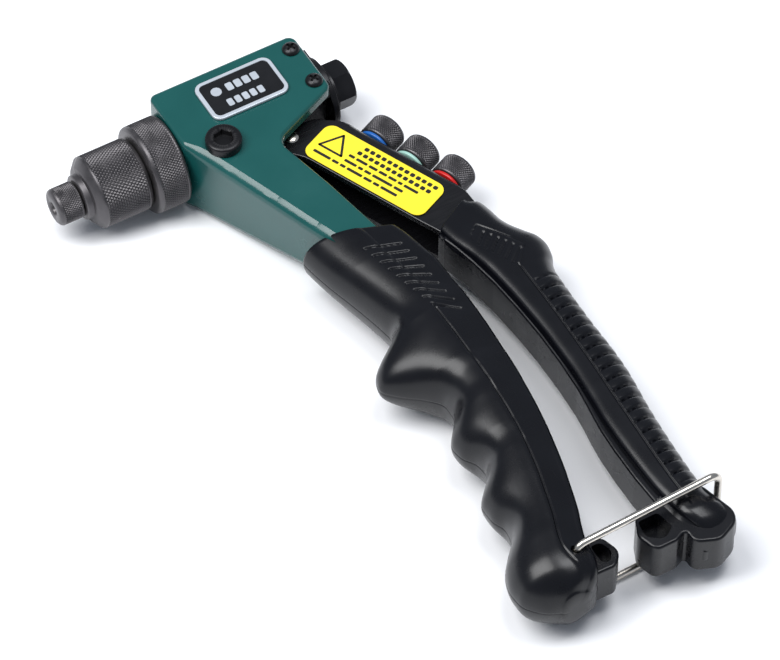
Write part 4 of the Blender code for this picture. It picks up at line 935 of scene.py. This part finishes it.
GRIP_HALF = [(-66.0, 9.2), (-74.0, 9.6), (-82.0, 10.2), (-95.0, 11.0), (-150.0, 10.9), (-195.0, 10.8), (-206.0, 10.8), (-211.0, 10.0),
             (-215.0, 8.3), (-218.5, 5.6), (-221.0, 2.2)]
SEAM = [(-70.0, 107.0), (-86.0, 110.2), (-100.6, 111.4), (-115.7, 111.5), (-140.0, 111.0), (-163.6, 109.9), (-194.2, 108.8), (-213.6, 109.6)]
SKEW = math.tan(math.radians(28.0))
RIB_COUNT, RIB_TOP, RIB_PITCH, RIB_DEPTH = 20, -106.5, 4.45, 1.0


def lever_grip():
    stations = list(np.arange(-75.2, -214.0, -0.42)) + list(np.arange(-214.0, -220.6, -0.33))
    rings = []
    for t in stations:
        k = min(max((t + 76.0 + 34.0) / 34.0, 0.0), 1.0)
        k = k * k * (3 - 2 * k)
        ridge = spline(RIDGE, t)
        y_out = t + k * SKEW * 20.0
        outer = spline(OUTER, y_out)
        h = spline(GRIP_HALF, t + k * 4.0)
        foot = spline(RAIL, t) + 2.0 if t > -196 else ridge - 4.5
        foot = min(foot, ridge - 1.6) + 0.6
        foot_z = min(6.4, h * 0.7)
        half = [(foot, 0.0), (foot, foot_z - 0.6)]
        for a in np.linspace(0.0, 1.0, 14):
            half.append((foot + (ridge - foot) * a, foot_z + (h - foot_z - min(2.2, h * 0.25)) * a ** 1.6))
        lip, fall = min(3.2, h * 0.36), min(2.2, h * 0.25)
        half += [(ridge + lip * (1 - math.cos(b)), h - 0.08 - fall * (1 - math.sin(b))) for b in np.linspace(0.2, math.pi / 2, 9)]
        lip_end = ridge + lip + 0.3
        seam = min(max(spline(SEAM, t), lip_end), outer - 5.0) if outer - lip_end > 5.6 else lip_end + max(outer - lip_end, 0.3) * 0.3
        marker = len(half)
        half.append((seam, h - 0.05))
        for a in np.linspace(0.06, math.pi / 2, 34):
            half.append((seam + (outer - seam) * math.sin(a) ** 0.92, (h - 0.05) * max(math.cos(a), 0.0) ** 0.84))
        half = resampled(half, marker, 0.9, 0.5, counts=(30, 26, 18, 34))
        ring = [(x, t + k * SKEW * (x - spline(RAIL, t)), z) for x, z in half]
        ring += [(x, y, -z) for x, y, z in ring[-2:0:-1]]
        rings.append(ring)
    first, tail = np.array(rings[0]), np.array(rings[-1])
    rim = []
    for k in range(4, 0, -1):
        a = math.pi / 2 * k / 4
        m = first.mean(axis=0)
        inner = m + (first - m) * np.array([1 - 0.06 * (1 - math.cos(a)), 1, 1 - 0.08 * (1 - math.cos(a))])
        inner[:, 1] = first[:, 1] + 0.8 * math.sin(a)
        rim.append(inner)
    foot = []
    for k in range(1, 6):
        a = math.pi / 2 * k / 5
        ring = tail.mean(axis=0) + (tail - tail.mean(axis=0)) * math.cos(a)
        ring[:, 1] = tail[:, 1] - 0.5 * math.sin(a)
        foot.append(ring)
    grid = np.array(rim + [np.array(r) for r in rings] + foot)
    x, y, z = grid[..., 0], grid[..., 1], grid[..., 2]
    seam_at = np.interp(-y, [-s[0] for s in SEAM], [s[1] for s in SEAM])
    behind = np.clip((x - seam_at - 0.5) / 0.6, 0, 1)
    # ribs lean a little down towards the seam
    across = np.clip((x - seam_at) / 8.5, 0, 1)
    lean = y + 1.4 * (1 - across)
    bottom = RIB_TOP - RIB_COUNT * RIB_PITCH
    phase = ((RIB_TOP - lean) / RIB_PITCH) % 1.0
    gap = np.abs(phase - 0.5) * 2
    cut = RIB_DEPTH * np.clip((gap - 0.55) / 0.45, 0, 1) ** 1.6 + 0.16 * gap ** 2
    live = np.clip((RIB_TOP - lean) / 0.5, 0, 1) * np.clip((lean - bottom) / 0.5, 0, 1)
    depth = cut * live * behind
    centre_x = seam_at - 2.0
    reach = np.hypot(x - centre_x, z) + 1e-6
    x = x - depth * (x - centre_x) / reach
    z = z - depth * z / reach
    facing = np.clip((np.abs(z) - 6.0) / 2.0, 0, 1)
    marks_ = groove(away(x, y, [(spline(SEAM, t), t) for t in np.arange(-100.0, -205.0, -1.0)]), 1.1, 0.45)
    frame_line = [(104.0, -84.6), (104.9, -82.0), (108.3, -79.2), (113.4, -86.8), (117.6, -93.4)]
    frame_line += [(111.6, -100.4)]
    marks_ = np.maximum(marks_, groove(away(x, y, frame_line), 0.8, 0.4))
    for k in range(6):
        q = k / 5
        a = (104.9 + (110.2 - 104.9) * q, -86.6 + (-98.8 + 86.6) * q)
        b = (108.7 + (115.4 - 108.7) * q, -83.2 + (-94.6 + 83.2) * q)
        marks_ = np.maximum(marks_, groove(away(x, y, [a, b]), 1.5, 0.55))
    z = np.sign(z) * (np.abs(z) - marks_ * facing)
    # the dome ends just inside the upright wall of the rail's foot
    y = np.where(y < -206.0, -206.0 + (y + 206.0) * 0.76, y)
    grid = np.stack([x, y, z + Z0], axis=-1)
    return smooth(skin("fine_lever_grip", grid, "grip"), 60)


place(lever_grip(), "lever", "lever_grip")


def rail_outline():
    corners = [(97.2, -76.8, 1.5)] + [(x, y, 6.0) for y, x in RAIL[2:]]
    corners += [
        (100.8, -198.6, 1.5), (93.0, -198.4, 2.5), (90.0, -205.0, 4.0), (92.2, -212.2, 3.0), (99.6, -212.2, 2.5), (103.6, -210.4, 1.0),
        (103.6, -215.4, 4.0), (111.2, -218.6, 5.0), (121.2, -214.0, 6.0), (117.0, -199.0, 2.0), (112.0, -195.0, 2.0), (110.5, -150.0, 10.0),
        (109.5, -110.0, 10.0), (106.0, -90.0, 10.0), (104.5, -73.6, 1.5),
    ]
    return rounded(corners, 9)


rail = plate("lever_grip_rail", split(rail_outline(), 2.0), "grip", Z0 - 7.6, Z0 + 7.6, 0.9, 4)
for side in (-1, 1):
    z = sorted((Z0 + side * 2.0, Z0 + side * 12.0))
    boolean(rail, plate("pocket", rounded([(92.6, -200.6, 1.2), (92.0, -206.5, 2.4), (96.6, -210.2, 3.0), (100.9, -207.0, 1.2), (99.6, -200.6, 1.2)], 12),
                        "grip", z[0], z[1], 0, 0))
place(even_normals(rail, 35), "lever")

# ------------------------------------------------------------------------------------------------ bail
hx, hy, ex, ey, reach = 69.5, -202.7, 120.9, -201.0, 13.6
legs = turned_path([(hx, hy, Z0 + 7.0), (hx, hy, Z0 + reach), (ex, ey, Z0 + reach), (ex, ey, Z0 - reach), (hx, hy, Z0 - reach), (hx, hy, Z0 - 7.0)], 3.6, 14)
place(sweep("fine_latch_bail", legs, 1.2, "bright", 24), "bail", "latch_bail")

# ------------------------------------------------------------------------------------------------ inner pieces keep their solids
for node in ("pivot_bush", "jaw_case", "jaw_upper", "jaw_lower", "jaw_pusher", "jaw_spring", "draw_tube", "return_spring", "pivot_nut"):
    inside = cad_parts[node]
    if not inside.material_slots:
        inside.data.materials.append(None)
    for held in inside.material_slots:
        held.material = LOOKS["black" if node == "pivot_nut" else "bright"]

# ------------------------------------------------------------------------------------------------ floor and light
floor_look = bpy.data.materials.new("studio_floor")
floor_look.use_nodes = True
floor_shader = floor_look.node_tree.nodes["Principled BSDF"]
floor_shader.inputs["Base Color"].default_value = (0.93, 0.935, 0.95, 1)
floor_shader.inputs["Roughness"].default_value = 0.75
floor_shader.inputs["Specular IOR Level"].default_value = 0.2
floor_mesh = bpy.data.meshes.new("studio_floor")
floor_mesh.from_pydata([(-6, -6, -0.0002), (6, -6, -0.0002), (6, 6, -0.0002), (-6, 6, -0.0002)], [], [(0, 1, 2, 3)])
floor_mesh.materials.append(floor_look)
floor = bpy.data.objects.new("studio_floor", floor_mesh)
bpy.context.collection.objects.link(floor)

world = bpy.data.worlds.new("studio")
bpy.context.scene.world = world
world.use_nodes = True
world.node_tree.nodes["Background"].inputs["Color"].default_value = (0.8, 0.87, 1.0, 1)
world.node_tree.nodes["Background"].inputs["Strength"].default_value = 0.32


def softbox(name, spot, aim, size, power, colour=(1, 1, 1), size_y=None):
    data = bpy.data.lights.new(name, "AREA")
    data.shape = "RECTANGLE"
    data.size, data.size_y = size, size_y or size
    data.energy = power
    data.color = colour
    made = bpy.data.objects.new(name, data)
    bpy.context.collection.objects.link(made)
    made.location = spot
    made.rotation_euler = (Vector(aim) - Vector(spot)).to_track_quat("-Z", "Y").to_euler()
    return made


softbox("key", (-0.46, 0.14, 0.84), (0, -0.01, 0), 0.5, 10.0, (1.0, 1.0, 1.0), 0.75)
softbox("overhead", (0.25, -0.06, 0.93), (0, -0.02, 0), 0.45, 5.0, (0.97, 0.98, 1.0))

view = bpy.context.scene.view_settings
view.view_transform = "Standard"
view.look = "None"
